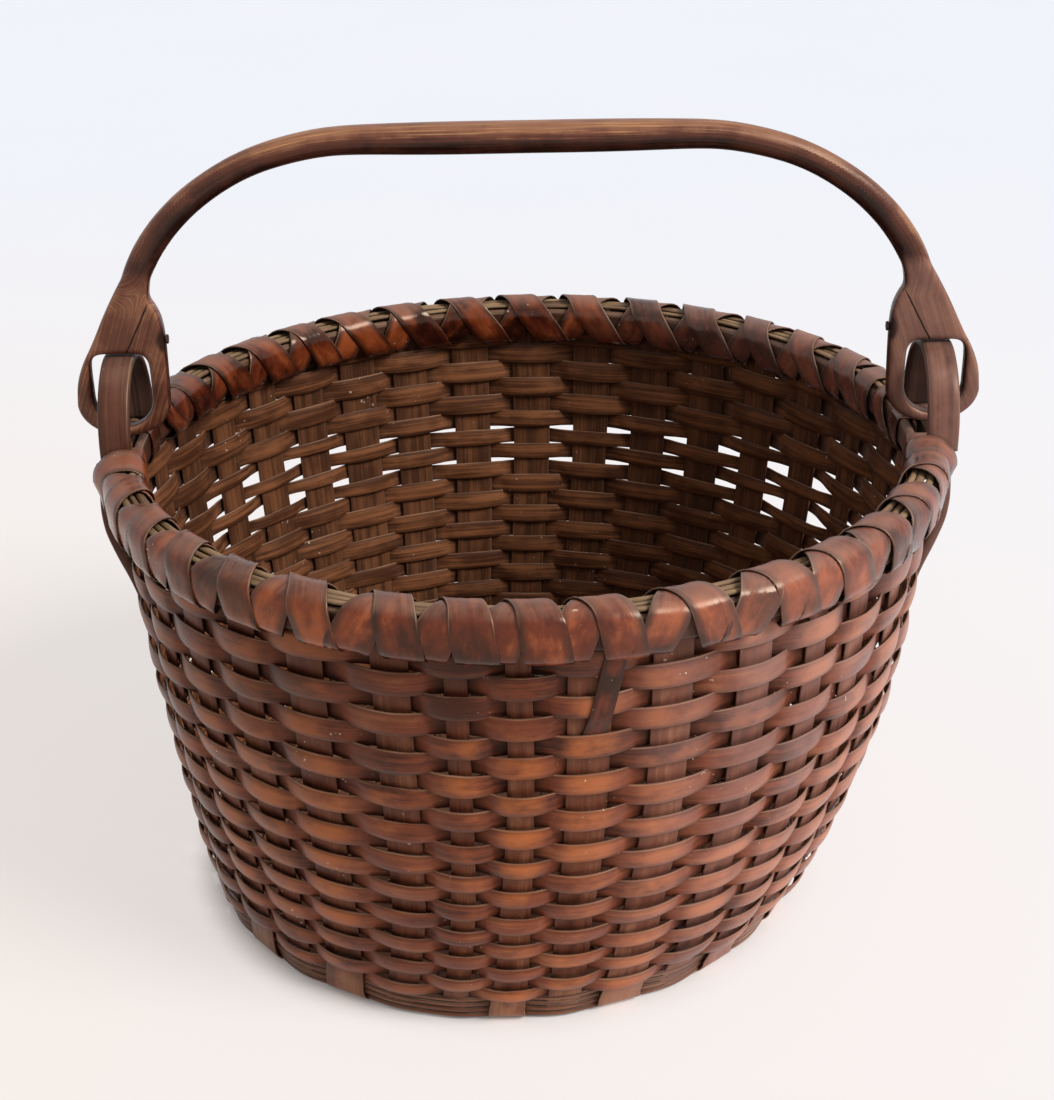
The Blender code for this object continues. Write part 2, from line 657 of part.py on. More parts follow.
def make_ear(name, side, material, collection):
    """A bent strap arch over the handle's eye, shouldered on the rim, with tails down the wall."""
    x_axis = Vector((1.0, 0.0, 0.0))
    y_axis = Vector((0.0, 1.0, 0.0))
    shoulder = RIM_HEIGHT + HOOP_TOP + SHOULDER_GAP
    slot_low = RIM_HEIGHT + HOOP_BOTTOM - SHOULDER_GAP
    tail_top = WEAVE_TOP_EDGE
    legs = {}
    for lengthwise in (-1.0, 1.0):
        rings = []
        for share in (1.0, 0.5, 0.0):
            height = tail_top - (TAIL_LENGTH - (RIM_HEIGHT - tail_top)) * share
            width = TAIL_WIDTH + (TAIL_END_WIDTH - TAIL_WIDTH) * share
            rings.append(tail_ring(side, lengthwise, outside_weave(side, lengthwise, height),
                                   TAIL_LOW_THICKNESS, width, height))
        rings.append(tail_ring(side, lengthwise, TAIL_IN, TAIL_DEPTH, TAIL_WIDTH, slot_low))
        rings.append(tail_ring(side, lengthwise, TAIL_IN, TAIL_DEPTH, TAIL_WIDTH, shoulder))
        leg = Vector((side * HINGE_RADIUS, lengthwise * EAR_HALF_LENGTH, shoulder))
        rings.append(rectangle_ring(leg, x_axis, EAR_WIDTH / 2.0, y_axis, EAR_THICKNESS / 2.0))
        legs[lengthwise] = rings
    arch = []
    for step in range(EAR_STEPS + 1):
        turn = math.pi * step / EAR_STEPS
        reach = Vector((0.0, -EAR_HALF_LENGTH * math.cos(turn), EAR_RISE * math.sin(turn)))
        centre = Vector((side * HINGE_RADIUS, 0.0, HINGE_HEIGHT)) + reach
        outward = Vector((0.0, -EAR_RISE * math.cos(turn), EAR_HALF_LENGTH * math.sin(turn))).normalized()
        arch.append(rectangle_ring(centre, x_axis, EAR_WIDTH / 2.0, -outward, EAR_THICKNESS / 2.0))
    rear = [turn_ring(ring) for ring in reversed(legs[1.0])]
    return loft(name, legs[-1.0] + arch + rear, material, collection, smooth=False)


def turn_ring(ring):
    """The same corners in the order that follows a strap over its arch."""
    return [ring[3], ring[2], ring[1], ring[0]]


def cut_ear_notches(hoop, cutters):
    """Notches in the hoop's inner face, which the tails of the ears pass through."""
    low = RIM_HEIGHT + HOOP_BOTTOM - CUTTER_OVERRUN
    high = RIM_HEIGHT + HOOP_TOP + CUTTER_OVERRUN
    inner = TAIL_IN - NOTCH_CLEARANCE
    depth = TAIL_DEPTH + 2.0 * NOTCH_CLEARANCE
    width = TAIL_WIDTH + 2.0 * NOTCH_CLEARANCE
    for side_name, side in (("left", -1.0), ("right", 1.0)):
        for end_name, lengthwise in (("front", -1.0), ("rear", 1.0)):
            rings = [tail_ring(side, lengthwise, inner, depth, width, height) for height in (low, high)]
            cutter = loft(f"cut_{side_name}_{end_name}_notch", rings, None, cutters, smooth=False)
            hide_guide(cutter)
            cut(hoop, cutter)


def arc_outline(centre_x, half_width, low, side_height, steps):
    """The lower half of an eye's outline, from its right side round the bottom to its left."""
    points = []
    for step in range(steps + 1):
        turn = math.pi * step / steps
        points.append((
            centre_x + half_width * math.cos(turn),
            side_height - (side_height - low) * math.sin(turn),
        ))
    return points


def eye_outline():
    """The outer edge of the right eye and its web, anticlockwise from the outer side."""
    low = HINGE_HEIGHT - EYE_BEND / 2.0
    out_side = HINGE_RADIUS + EYE_HALF_WIDTH
    in_side = HINGE_RADIUS - EYE_HALF_WIDTH
    rise = WEB_TOP_HEIGHT - EYE_SIDE_HEIGHT
    outer = [
        (out_side + (WEB_TOP_OUT - out_side) * across, EYE_SIDE_HEIGHT + rise * along)
        for along, across in WEB_OUTER_SHARES
    ]
    inner = [
        (in_side + EYE_HALF_WIDTH * across, EYE_SIDE_HEIGHT + rise * along)
        for along, across in WEB_INNER_SHARES
    ]
    bottom = arc_outline(HINGE_RADIUS, EYE_HALF_WIDTH, low, EYE_SIDE_HEIGHT, EYE_STEPS)
    return list(reversed(outer)) + bottom[1:-1] + inner


def eye_hole():
    """The hole of the right eye: a round lower end and a nearly flat top with small corners."""
    low = HINGE_HEIGHT + EYE_BEND / 2.0
    corner = EYE_HOLE_HALF_WIDTH / 3.0
    points = arc_outline(
        HINGE_RADIUS, EYE_HOLE_HALF_WIDTH, low, EYE_SIDE_HEIGHT + EYE_BEND / 2.0, EYE_HOLE_STEPS
    )
    left = HINGE_RADIUS - EYE_HOLE_HALF_WIDTH
    right = HINGE_RADIUS + EYE_HOLE_HALF_WIDTH
    points.extend([
        (left, EYE_TOP - corner), (left + corner, EYE_TOP),
        (right - corner, EYE_TOP), (right, EYE_TOP - corner),
    ])
    return points


def make_plate(name, outlines, depth, collection):
    """A flat plate in the XZ plane from closed outlines, as a mesh with its caps welded."""
    curve = bpy.data.curves.new(name, "CURVE")
    curve.dimensions = "2D"
    curve.fill_mode = "BOTH"
    curve.extrude = depth / 2.0
    for outline in outlines:
        spline = curve.splines.new("POLY")
        spline.points.add(len(outline) - 1)
        for point, (x, z) in zip(spline.points, outline):
            point.co = (x, z, 0.0, 1.0)
        spline.use_cyclic_u = True
    flat = bpy.data.objects.new(name + "_outline", curve)
    collection.objects.link(flat)
    flat.rotation_euler = (math.pi / 2.0, 0.0, 0.0)
    bpy.context.view_layer.update()
    mesh = bpy.data.meshes.new_from_object(flat.evaluated_get(bpy.context.evaluated_depsgraph_get()))
    plate = bpy.data.objects.new(name, mesh)
    collection.objects.link(plate)
    plate.matrix_world = flat.matrix_world.copy()
    bpy.data.objects.remove(flat, do_unlink=True)
    shape = bmesh.new()
    shape.from_mesh(plate.data)
    bmesh.ops.remove_doubles(shape, verts=shape.verts, dist=WELD_DISTANCE)
    bmesh.ops.recalc_face_normals(shape, faces=shape.faces)
    shape.to_mesh(plate.data)
    shape.free()
    return plate


def stick_stations():
    """The right half of the stick: place, in-plane thickness and depth at each station."""
    stations = [(0.0, GRIP_HEIGHT, GRIP_THICKNESS, GRIP_DEPTH)]
    stations.append((GRIP_HALF_LENGTH / 2.0, GRIP_HEIGHT, GRIP_THICKNESS, GRIP_DEPTH))
    last = len(ARM_PATH_SHARES) - 1
    for index, (across, down) in enumerate(ARM_PATH_SHARES):
        x = GRIP_HALF_LENGTH + (ARM_END_X - GRIP_HALF_LENGTH) * across
        z = GRIP_HEIGHT - (GRIP_HEIGHT - ARM_END_HEIGHT) * down
        share = index / last
        if share < 0.5:
            ease = share * 2.0
            thickness = GRIP_END_THICKNESS + (ARM_THICKNESS - GRIP_END_THICKNESS) * ease
            depth = GRIP_END_DEPTH + (ARM_DEPTH - GRIP_END_DEPTH) * ease
        else:
            ease = share * 2.0 - 1.0
            thickness = ARM_THICKNESS + (ARM_END_THICKNESS - ARM_THICKNESS) * ease
            depth = ARM_DEPTH + (ARM_END_DEPTH - ARM_DEPTH) * ease
        stations.append((x, z, thickness, depth))
    tenon_x = (ARM_END_X + HINGE_RADIUS) / 2.0
    tenon_z = (ARM_END_HEIGHT + EYE_TOP) / 2.0
    stations.append((tenon_x, tenon_z, TENON_THICKNESS, TENON_DEPTH))
    return stations


def stick_rings():
    """Ellipses along the whole stick, left to right, each square to its path."""
    right = stick_stations()
    whole = [(-x, z, thickness, depth) for x, z, thickness, depth in reversed(right[1:])] + right
    rings = []
    for index, (x, z, thickness, depth) in enumerate(whole):
        before = whole[max(0, index - 1)]
        after = whole[min(len(whole) - 1, index + 1)]
        along = Vector((after[0] - before[0], 0.0, after[1] - before[1])).normalized()
        square = Vector((-along.z, 0.0, along.x))
        ring = []
        for side in range(STICK_SIDES):
            turn = 2.0 * math.pi * side / STICK_SIDES
            ring.append(
                Vector((x, 0.0, z)) + square * (thickness / 2.0 * math.cos(turn))
                + Vector((0.0, depth / 2.0 * math.sin(turn), 0.0))
            )
        rings.append(ring)
    return rings


def nail_place():
    """Where the nail enters the right web from its inner edge."""
    height = EYE_TOP + (WEB_TOP_HEIGHT - EYE_TOP) * NAIL_HEIGHT_SHARE
    return HINGE_RADIUS - EYE_HALF_WIDTH, height


def make_rod(name, radius, start, end, side, height, material, collection):
    """A short round rod along X, given for the right side and mirrored to the left."""
    rings = []
    for x in (start, end):
        ring = []
        for step in range(NAIL_SIDES):
            turn = 2.0 * math.pi * (step + 0.5) / NAIL_SIDES
            ring.append(Vector((side * x, radius * math.cos(turn), height + radius * math.sin(turn))))
        rings.append(ring)
    return loft(name, rings, material, collection)


def make_bail(material, nail_material, collection, cutters):
    """The handle, its origin on the hinge line, with a nail through each scarf."""
    bail = loft("bail", stick_rings(), material, collection)
    edge, height = nail_place()
    bulge = min(across for along, across in WEB_INNER_SHARES) * EYE_HALF_WIDTH
    head_face = edge + bulge - CLEARANCE
    for side_name, side in (("left", -1.0), ("right", 1.0)):
        outlines = [
            [(side * x, z) for x, z in eye_outline()],
            [(side * x, z) for x, z in eye_hole()],
        ]
        plate = make_plate(f"{side_name}_eye_plate", outlines, EYE_DEPTH, cutters)
        hide_guide(plate)
        join(bail, plate)
        hole = make_rod(
            f"cut_{side_name}_nail_hole", NAIL_SHANK / 2.0 + NAIL_CLEARANCE, edge - CUTTER_OVERRUN,
            head_face + NAIL_LENGTH + NAIL_CLEARANCE, side, height, None, cutters,
        )
        hide_guide(hole)
        cut(bail, hole)
        make_nail(f"{side_name}_nail", side, head_face, height, nail_material, collection, cutters)
    move_origin(bail, Vector((0.0, 0.0, HINGE_HEIGHT)))
    return bail


def make_nail(name, side, head_face, height, material, collection, cutters):
    """A nail with a flat head just off the web's inner edge."""
    head = make_rod(name, NAIL_HEAD / 2.0, head_face - NAIL_HEAD_THICKNESS, head_face, side, height,
                    material, collection)
    shank = make_rod(name + "_shank", NAIL_SHANK / 2.0, head_face - NAIL_HEAD_THICKNESS / 2.0,
                     head_face + NAIL_LENGTH, side, height, None, cutters)
    hide_guide(shank)
    join(head, shank)
    return head


def move_origin(thing, origin):
    """Put an object's origin at a point and leave its shape where it is."""
    for vertex in thing.data.vertices:
        vertex.co -= origin
    thing.location = origin


def main():
    for thing in list(bpy.data.objects):
        bpy.data.objects.remove(thing, do_unlink=True)
    parts = make_collection("swing_handle_basket")
    cutters = make_collection("cutters")

    outer_splint = make_material("outer_spoke_splint", (0.20, 0.085, 0.035), 0.5, 0.0)
    inner_splint = make_material("inner_spoke_splint", (0.16, 0.075, 0.035), 0.55, 0.0)
    weaver_splint = make_material("weaver_splint", (0.24, 0.085, 0.03), 0.45, 0.0)
    bottom_splint = make_material("bottom_splint", (0.15, 0.08, 0.045), 0.6, 0.0)
    hoop_wood = make_material("hoop_wood", (0.22, 0.1, 0.045), 0.5, 0.0)
    filler_splint = make_material("filler_splint", (0.36, 0.23, 0.11), 0.65, 0.0)
    first_lash = make_material("first_lashing_splint", (0.2, 0.08, 0.04), 0.45, 0.0)
    second_lash = make_material("second_lashing_splint", (0.26, 0.095, 0.035), 0.4, 0.0)
    ear_wood = make_material("ear_wood", (0.15, 0.065, 0.035), 0.4, 0.0)
    bail_wood = make_material("bail_wood", (0.2, 0.08, 0.035), 0.4, 0.0)
    nail_iron = make_material("nail_iron", (0.06, 0.05, 0.045), 0.6, 0.8)

    make_spokes(outer_splint, inner_splint, parts)
    make_bottom(bottom_splint, parts)
    make_weavers(weaver_splint, parts)
    make_foot_rounds(weaver_splint, parts)
    outer_hoop, _ = make_hoops(hoop_wood, parts)
    cut_ear_notches(outer_hoop, cutters)
    make_fillers(filler_splint, parts)
    make_lashing(first_lash, second_lash, parts)
    make_ear("left_ear", -1.0, ear_wood, parts)
    make_ear("right_ear", 1.0, ear_wood, parts)
    make_bail(bail_wood, nail_iron, parts, cutters)


main()
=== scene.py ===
"""The looks of the swing handle basket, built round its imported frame."""

import math

import bmesh
import bpy
import numpy as np
from mathutils import Matrix, Vector


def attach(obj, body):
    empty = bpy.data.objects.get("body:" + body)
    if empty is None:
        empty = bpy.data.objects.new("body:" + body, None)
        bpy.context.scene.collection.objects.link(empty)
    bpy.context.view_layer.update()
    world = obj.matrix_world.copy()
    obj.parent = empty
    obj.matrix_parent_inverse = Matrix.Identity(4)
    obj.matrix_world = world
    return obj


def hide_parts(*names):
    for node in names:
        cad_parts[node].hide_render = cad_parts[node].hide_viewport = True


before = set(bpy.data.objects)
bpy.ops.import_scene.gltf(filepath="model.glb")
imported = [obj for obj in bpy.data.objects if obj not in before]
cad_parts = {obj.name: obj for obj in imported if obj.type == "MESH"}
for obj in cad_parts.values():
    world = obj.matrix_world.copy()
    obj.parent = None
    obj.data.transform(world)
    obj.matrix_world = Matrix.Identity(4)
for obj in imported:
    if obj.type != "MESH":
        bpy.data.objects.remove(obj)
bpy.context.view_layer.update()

MM = 0.001
SEED = 7
ZENITH = np.array([[0, 0, 1]])

# Camera
FOCAL = 1960 / 1100 * 36
PITCH = math.radians(25.69)
ROLL = math.radians(-1.05)
CAMERA_PLACE = (-2.25 * MM, -983.4 * MM, 663.4 * MM)

# The solids' sizes that the looks follow
UPRIGHTS = 35
FIRST_ANGLE = math.radians(-89)
SPACING = 2 * math.pi / UPRIGHTS
RIM_RADIUS = 215 * MM
RIM_SHIFT = -2.5 * MM
RIM_HEIGHT = 253.8 * MM
TOP_RADIUS = 212.6 * MM
FOOT_RADIUS = 170.5 * MM
FOOT_HEIGHT = 9 * MM
CORNER_RUN = 8 * MM
WALL_CURVE = 1.95
BASE_SHIFT = -17.5 * MM
SHIFT_CURVE = 3.3
SPLINT = MM
OUTER_LOW = 0.5 * MM
INNER_LOW = 4.9 * MM
STACK_STEP = 1.15 * MM
WEAVER = 1.1 * MM
WEAVER_LENGTHS = 7
ROUNDS_PER_LENGTH = 3
ROUNDS = WEAVER_LENGTHS * ROUNDS_PER_LENGTH
WEAVE_LOW = 18.6 * MM
WEAVE_HIGH = 241.8 * MM
SPREAD = 0.14
WEAVE_WIDTH = 1.02
HINGE_RADIUS = 216.5 * MM
HINGE_HEIGHT = 267.23 * MM
EYE_TOP = 310.5 * MM
EAR_HALF = 34.5 * MM
EAR_RISE = 40 * MM
EAR_ANGLE = math.asin(EAR_HALF / RIM_RADIUS)
EAR_FREE = EAR_ANGLE + 9.4 * MM / RIM_RADIUS

# Tables that the handle's solids use, as shares
ARM_PATH = (
    (0, 0), (0.12, 0.022), (0.212, 0.055), (0.301, 0.087), (0.39, 0.129), (0.476, 0.187),
    (0.567, 0.267), (0.653, 0.354), (0.742, 0.458), (0.829, 0.592), (0.917, 0.765), (1, 1),
)
WEB_OUTER = (
    (0, 0), (0.15, 0.04), (0.29, 0.15), (0.44, 0.33), (0.69, 0.61), (0.93, 0.93), (1, 1.12),
)
WEB_INNER = (
    (0, 0), (0.3, -0.02), (0.47, -0.02), (0.6, 0.02), (0.69, 0.12), (0.755, 0.225),
    (0.83, 0.21), (0.9, 0.155), (1, 0.02),
)

# Uprights and how far each stands from its even place, as a share of the spacing
UNEVEN = (
    (0, 1, 2, 3, 4, 5, 6, 7, 10, 12, 14, 16, 18, 19, 20, 22, 25, 31, 32, 33, 34),
    (-0.22, -0.37, -0.33, -0.2, -0.17, -0.3, -0.15, 0, 0, 0.1, 0.18, 0.25, 0.3, 0.34, 0.3, 0.15, 0,
     0.03, 0.03, 0.22, 0.03),
)

# Each upright's width in the wall, in millimetres
UPRIGHT_WIDTHS = (
    12, 21, 19.5, 18.5, 14, 16.5, 15.5, 17.5, 19.5, 18, 20, 19, 21, 22, 22.5, 23.5, 23, 24,
    23.5, 23, 24, 22, 21, 20, 20, 18.5, 17, 18, 16, 17.5, 17, 18.5, 20, 19, 11,
)

# Places counted in uprights and how far the rounds have slipped apart there, for the light windows
WINDOWS = (
    (10.6, 11.6, 12.6, 13.6, 14.6, 19.6, 20.8, 22.2, 23.2, 24.2),
    (0, 1.2, 1.3, 0.8, 0.6, 0.5, 1, 1.3, 1.1, 0),
)

# Between which rounds they slip, and for each round beside: its place, rise and loss of width
PARTINGS = (14, 16)
PARTED_ROUNDS = ((0, 1.2, 3.5), (-1, -1.2, 3.5), (1, 0.3, 0.2), (-2, -0.3, 0.2))

# One turn of lashing round the rim's bundle, out and up from the rim's middle
LASH_LOW = 13.4
LASH_PATH = (
    (-2.4, -LASH_LOW), (3, -13.3), (6.9, -11.6), (9, -8), (9.5, -3), (9.5, 2), (8.6, 6.2), (5.8, 9.6),
    (2, 11.3), (-2, 11.6), (-6.2, 10.6), (-9.7, 7.4), (-11.1, 3), (-11.3, -2), (-10.7, -7.6),
    (-8.9, -11.3), (-6.2, -13), (-2.4, -LASH_LOW),
)
END_TURN_ANGLE = math.asin(45.5 / 217)
TURN_SAMPLES = 60
HALVES = (("rear", 0), ("front", math.pi))

# The tucked end of the lashing: at each height its angle in degrees and how far out it lies
LOOSE_ANGLE = ((193, 232, 245), (-82.2, -80, -79.3))
LOOSE_LIFT = ((193, 199, 203, 208, 226, 232, 238, 245), (1.75, 2, 3.4, 5.2, 5.3, 5.4, 5.3, 4.8))

# An ear's tail: drop from the rim's middle, out from the wall's middle, half the width outwards
TAIL_DROP, TAIL_OUT, TAIL_HALF = np.array((
    (-82, -70, -58, -44, -30, -18, -8, 0, 8),
    (0.2, 1.4, 3.8, 8, 11.6, 12.4, 11.4, 11.2, 11.2),
    (2.4, 2.8, 3, 3.2, 3.3, 3.3, 3.4, 3.6, 3.9),
))

# Two points of the scarf's line and the nail's place, as a distance outwards and a height
SCARF_LINE = ((202 * MM, 330.5 * MM), (212.5 * MM, 311.5 * MM))
NAIL_PLACE = (191.7 * MM, 318 * MM)

# A splint's section: across as a share of half the width, how many edge radii inwards, out as a share
# of half the thickness
SPLINT_SECTION = np.array((
    (1, 1, 1, 0.5, 0, -0.5, -1, -1, -1, -1, -1, -0.5, 0, 0.5, 1, 1),
    (0, 0.3, 1, 0, 0, 0, 1, 0.3, 0, 0.3, 1, 0, 0, 0, 1, 0.3),
    (0, 0.72, 1, 1, 1, 1, 1, 0.72, 0, -0.72, -1, -1, -1, -1, -1, -0.72),
))


# Shapes


def ease(share):
    """A share from 0 to 1, eased at both ends."""
    return share * share * (3 - 2 * share)


def clipped(share):
    """Shares kept between 0 and 1."""
    return np.clip(share, 0, 1)


def share_of(value, low, high):
    """How far a value has come from low to high, from 0 to 1."""
    return clipped((value - low) / (high - low))


def jitter(rng, count, step, amount, closed=False):
    """Smooth noise, with a random value every step samples."""
    knots = max(2, int(math.ceil(count / step)) + 1)
    values = rng.uniform(-1, 1, knots + 1)
    if closed:
        values[-2:] = values[0]
    place = np.arange(count) / step
    index = np.minimum(place.astype(int), knots - 1)
    share = ease(place - index)
    return amount * (values[index] * (1 - share) + values[index + 1] * share)


def unit(vectors):
    """Vectors of length one."""
    return vectors / np.maximum(np.linalg.norm(vectors, axis=-1, keepdims=True), 1e-12)


def tangents(centres, closed=False):
    """Directions along a path."""
    if closed:
        return unit(np.roll(centres, -1, 0) - np.roll(centres, 1, 0))
    return unit(np.gradient(centres, axis=0))


def facing(first, second, outs):
    """Directions square to two others, on the side of outs."""
    normal = unit(np.cross(first, second))
    return normal * np.sign(np.sum(normal * outs, 1))[:, None]


def sideways(centres, hints):
    """Directions square to a path and to the hints."""
    return unit(np.cross(hints, tangents(centres)))


def lengths(centres):
    """The length of the path up to each of its points."""
    return np.concatenate([[0], np.cumsum(np.linalg.norm(np.diff(centres, axis=0), axis=1))])


def smoothed(line, times):
    """The line, smoothed this many times between its ends."""
    for _ in range(times):
        line[1:-1] = (line[:-2] + line[1:-1] * 2 + line[2:]) / 4
    return line


def spline(points, count):
    """A smooth curve (Catmull-Rom) through the points."""
    points = np.asarray(points, float)
    ends = np.vstack([2 * points[0] - points[1], points, 2 * points[-1] - points[-2]])
    knots = lengths(points)
    place = np.linspace(0, knots[-1], count)
    index = np.clip(np.searchsorted(knots, place, "right") - 1, 0, len(points) - 2)
    t = ((place - knots[index]) / (knots[index + 1] - knots[index]))[:, None]
    p0, p1, p2, p3 = ends[index], ends[index + 1], ends[index + 2], ends[index + 3]
    return 0.5 * (2 * p1 + (p2 - p0) * t + (2 * p0 - 5 * p1 + 4 * p2 - p3) * t ** 2
                  + (3 * p1 - p0 - 3 * p2 + p3) * t ** 3)


def round_section(sides):
    """A section like a splint's three rows, but round or oval."""
    turn = 2 * np.pi * np.arange(sides) / sides
    return np.cos(turn), np.zeros(sides), np.sin(turn)


def add_object(name, data):
    """A new object in the scene."""
    thing = bpy.data.objects.new(name, data)
    bpy.context.scene.collection.objects.link(thing)
    return thing


def take_mesh(thing):
    """The final mesh of an object, which goes."""
    bpy.context.view_layer.update()
    mesh = bpy.data.meshes.new_from_object(thing.evaluated_get(bpy.context.evaluated_depsgraph_get()))
    bpy.data.objects.remove(thing, do_unlink=True)
    return mesh


def mend(mesh, extra=(), merge=0):
    """Take in extra meshes, merge close points and turn all faces outwards."""
    shape = bmesh.new()
    for part in (mesh, *extra):
        shape.from_mesh(part)
    if merge:
        bmesh.ops.remove_doubles(shape, verts=shape.verts, dist=merge)
    bmesh.ops.recalc_face_normals(shape, faces=shape.faces)
    shape.to_mesh(mesh)
    shape.free()
    return mesh


def show(name, mesh, grain, mask, material, body, nodes):
    """Show a mesh on its body, for the solids that it replaces."""
    for title, kind, values in (("grain", "vector", grain), ("mask", "color", mask)):
        layer = mesh.attributes.new(title, "FLOAT_" + kind.upper(), "POINT")
        layer.data.foreach_set(kind, np.ascontiguousarray(values, np.float32).ravel())
    mesh.materials.append(material)
    mesh.shade_smooth()
    piece = add_object(name, mesh)
    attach(piece, body)
    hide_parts(*nodes)


class Pieces:
    """Swept strips collected into one mesh, with their grain and mask."""

    def __init__(self):
        self.points, self.faces, self.grain, self.mask = [], [], [], []
        self.count = 0

    def sweep(self, centres, sides, hints, half_width, half_thick, crown=0, closed=False, tone=0.5,
              crest=0.6, under=0.3, seed=0, section=SPLINT_SECTION, edge=0.35 * MM, square=True):
        """One strip along the centres, its outer face turned to the hints."""
        outs = facing(sides, tangents(centres, closed), hints) if square else hints
        count = len(centres)
        wide, thick, crown, tone, crest, under = [
            np.broadcast_to(np.asarray(values, float).reshape(-1, 1), (count, 1))
            for values in (half_width, half_thick, crown, tone, crest, under)]
        place, rounded, rise = section
        size = len(place)
        radius = np.minimum(np.minimum(thick, edge), wide * 0.4)
        across = place * wide - np.sign(place) * rounded * radius
        out = rise * thick + crown * (1 - (across / wide) ** 2)
        points = centres[:, None] + sides[:, None] * across[:, :, None] + outs[:, None] * out[:, :, None]
        outer = np.greater_equal(rise, 0)
        grain = (lengths(centres)[:, None], across + np.sign(rise) * 0.1, seed)
        mask = (tone, np.where(outer, crest, under), np.where(outer, 0, 1), np.abs(place))
        ring = self.count + np.arange(size)
        beside = np.roll(ring, -1)
        here = np.arange(count if closed else count - 1)[:, None] * size
        there = (here + size) % (count * size)
        quads = np.stack([here + ring, here + beside, there + beside, there + ring], 2)
        self.faces += quads.reshape(-1, 4).tolist()
        if not closed:
            self.faces += [ring[::-1].tolist(), (ring + (count - 1) * size).tolist()]
        self.points.append(points.reshape(-1, 3))
        self.grain.append(np.stack(np.broadcast_arrays(*grain), 2).reshape(-1, 3))
        self.mask.append(np.stack(np.broadcast_arrays(*mask), 2).reshape(-1, 4))
        self.count += count * size
        return self

    def mesh(self, name):
        """The strips' mesh."""
        mesh = bpy.data.meshes.new(name)
        mesh.from_pydata(np.concatenate(self.points).tolist(), [], self.faces)
        return mesh

    def finish(self, name, material, slot, *nodes):
        """The mesh as an object that rides on the basket."""
        show(name, mend(self.mesh(name)), np.concatenate(self.grain), np.concatenate(self.mask),
             material, "basket", nodes)


def polar(shift, radius, angle, height):
    """Points round an upright axis, shifted to the side."""
    return np.stack(np.broadcast_arrays(shift + radius * np.cos(angle), radius * np.sin(angle), height), -1)


def around(angle):
    """Level directions round the middle."""
    return polar(0, 1, angle + math.pi / 2, 0)


def even_angle(index):
    """Where an upright stands in the solids, evenly."""
    return FIRST_ANGLE + index * SPACING


def leaning(index, height=RIM_HEIGHT):
    """Where an upright stands in handwork, less unevenly by the foot."""
    index = np.asarray(index, float)
    astray = np.interp(index % UPRIGHTS, *UNEVEN, period=UPRIGHTS)
    return even_angle(index) + astray * SPACING * clipped(0.3 + height / (110 * MM))


def wall_radius(height):
    """The wall's radius at each height."""
    sine = share_of(height, FOOT_HEIGHT, OUTER_LOW)
    foot = FOOT_RADIUS - CORNER_RUN * (1 - np.sqrt(1 - sine * sine))
    share = share_of(height, FOOT_HEIGHT, RIM_HEIGHT)
    wall = TOP_RADIUS - (TOP_RADIUS - FOOT_RADIUS) * (1 - share) ** WALL_CURVE
    return np.where(height < FOOT_HEIGHT, foot, wall)


def wall_point(angle, height):
    """Points in the middle of the leaning wall."""
    share = share_of(height, FOOT_HEIGHT, RIM_HEIGHT)
    shift = RIM_SHIFT + (BASE_SHIFT - RIM_SHIFT) * (1 - share) ** SHIFT_CURVE
    return polar(shift, wall_radius(height), angle, height)


def wall_frame(angle, height):
    """Wall points with their outward, sideways and upward directions."""
    up = unit(wall_point(angle, height + SPLINT) - wall_point(angle, height - SPLINT))
    side = around(angle)
    return wall_point(angle, height), unit(np.cross(side, up)), side, up


def rim_point(angle, out, height):
    """Points by the rim, out from its middle line and above it."""
    return polar(RIM_SHIFT, RIM_RADIUS + out, angle, RIM_HEIGHT + height)


# Materials


def linear(red, green, blue):
    """A colour given in 0 to 255 as on screen."""
    return tuple((value / 255 / 12.92 if value <= 10.3 else ((value / 255 + 0.055) / 1.055) ** 2.4)
                 for value in (red, green, blue)) + (1,)


class Value:
    """A node's output, with which sums can be written as for numbers."""

    def __init__(self, shader, socket):
        self.shader = shader
        self.socket = socket

    def __add__(self, other):
        return self.shader.math("ADD", self, other)

    def __sub__(self, other):
        return self.shader.math("SUBTRACT", self, other)

    def __rsub__(self, other):
        return self.shader.math("SUBTRACT", other, self)

    def __mul__(self, other):
        return self.shader.math("MULTIPLY", self, other)

    def step(self, low, high):
        """A smooth step from 0 at low to 1 at high."""
        inputs = (("Value", self), ("From Min", low), ("From Max", high))
        return self.shader.add("MapRange", "Result", inputs, interpolation_type="SMOOTHSTEP")


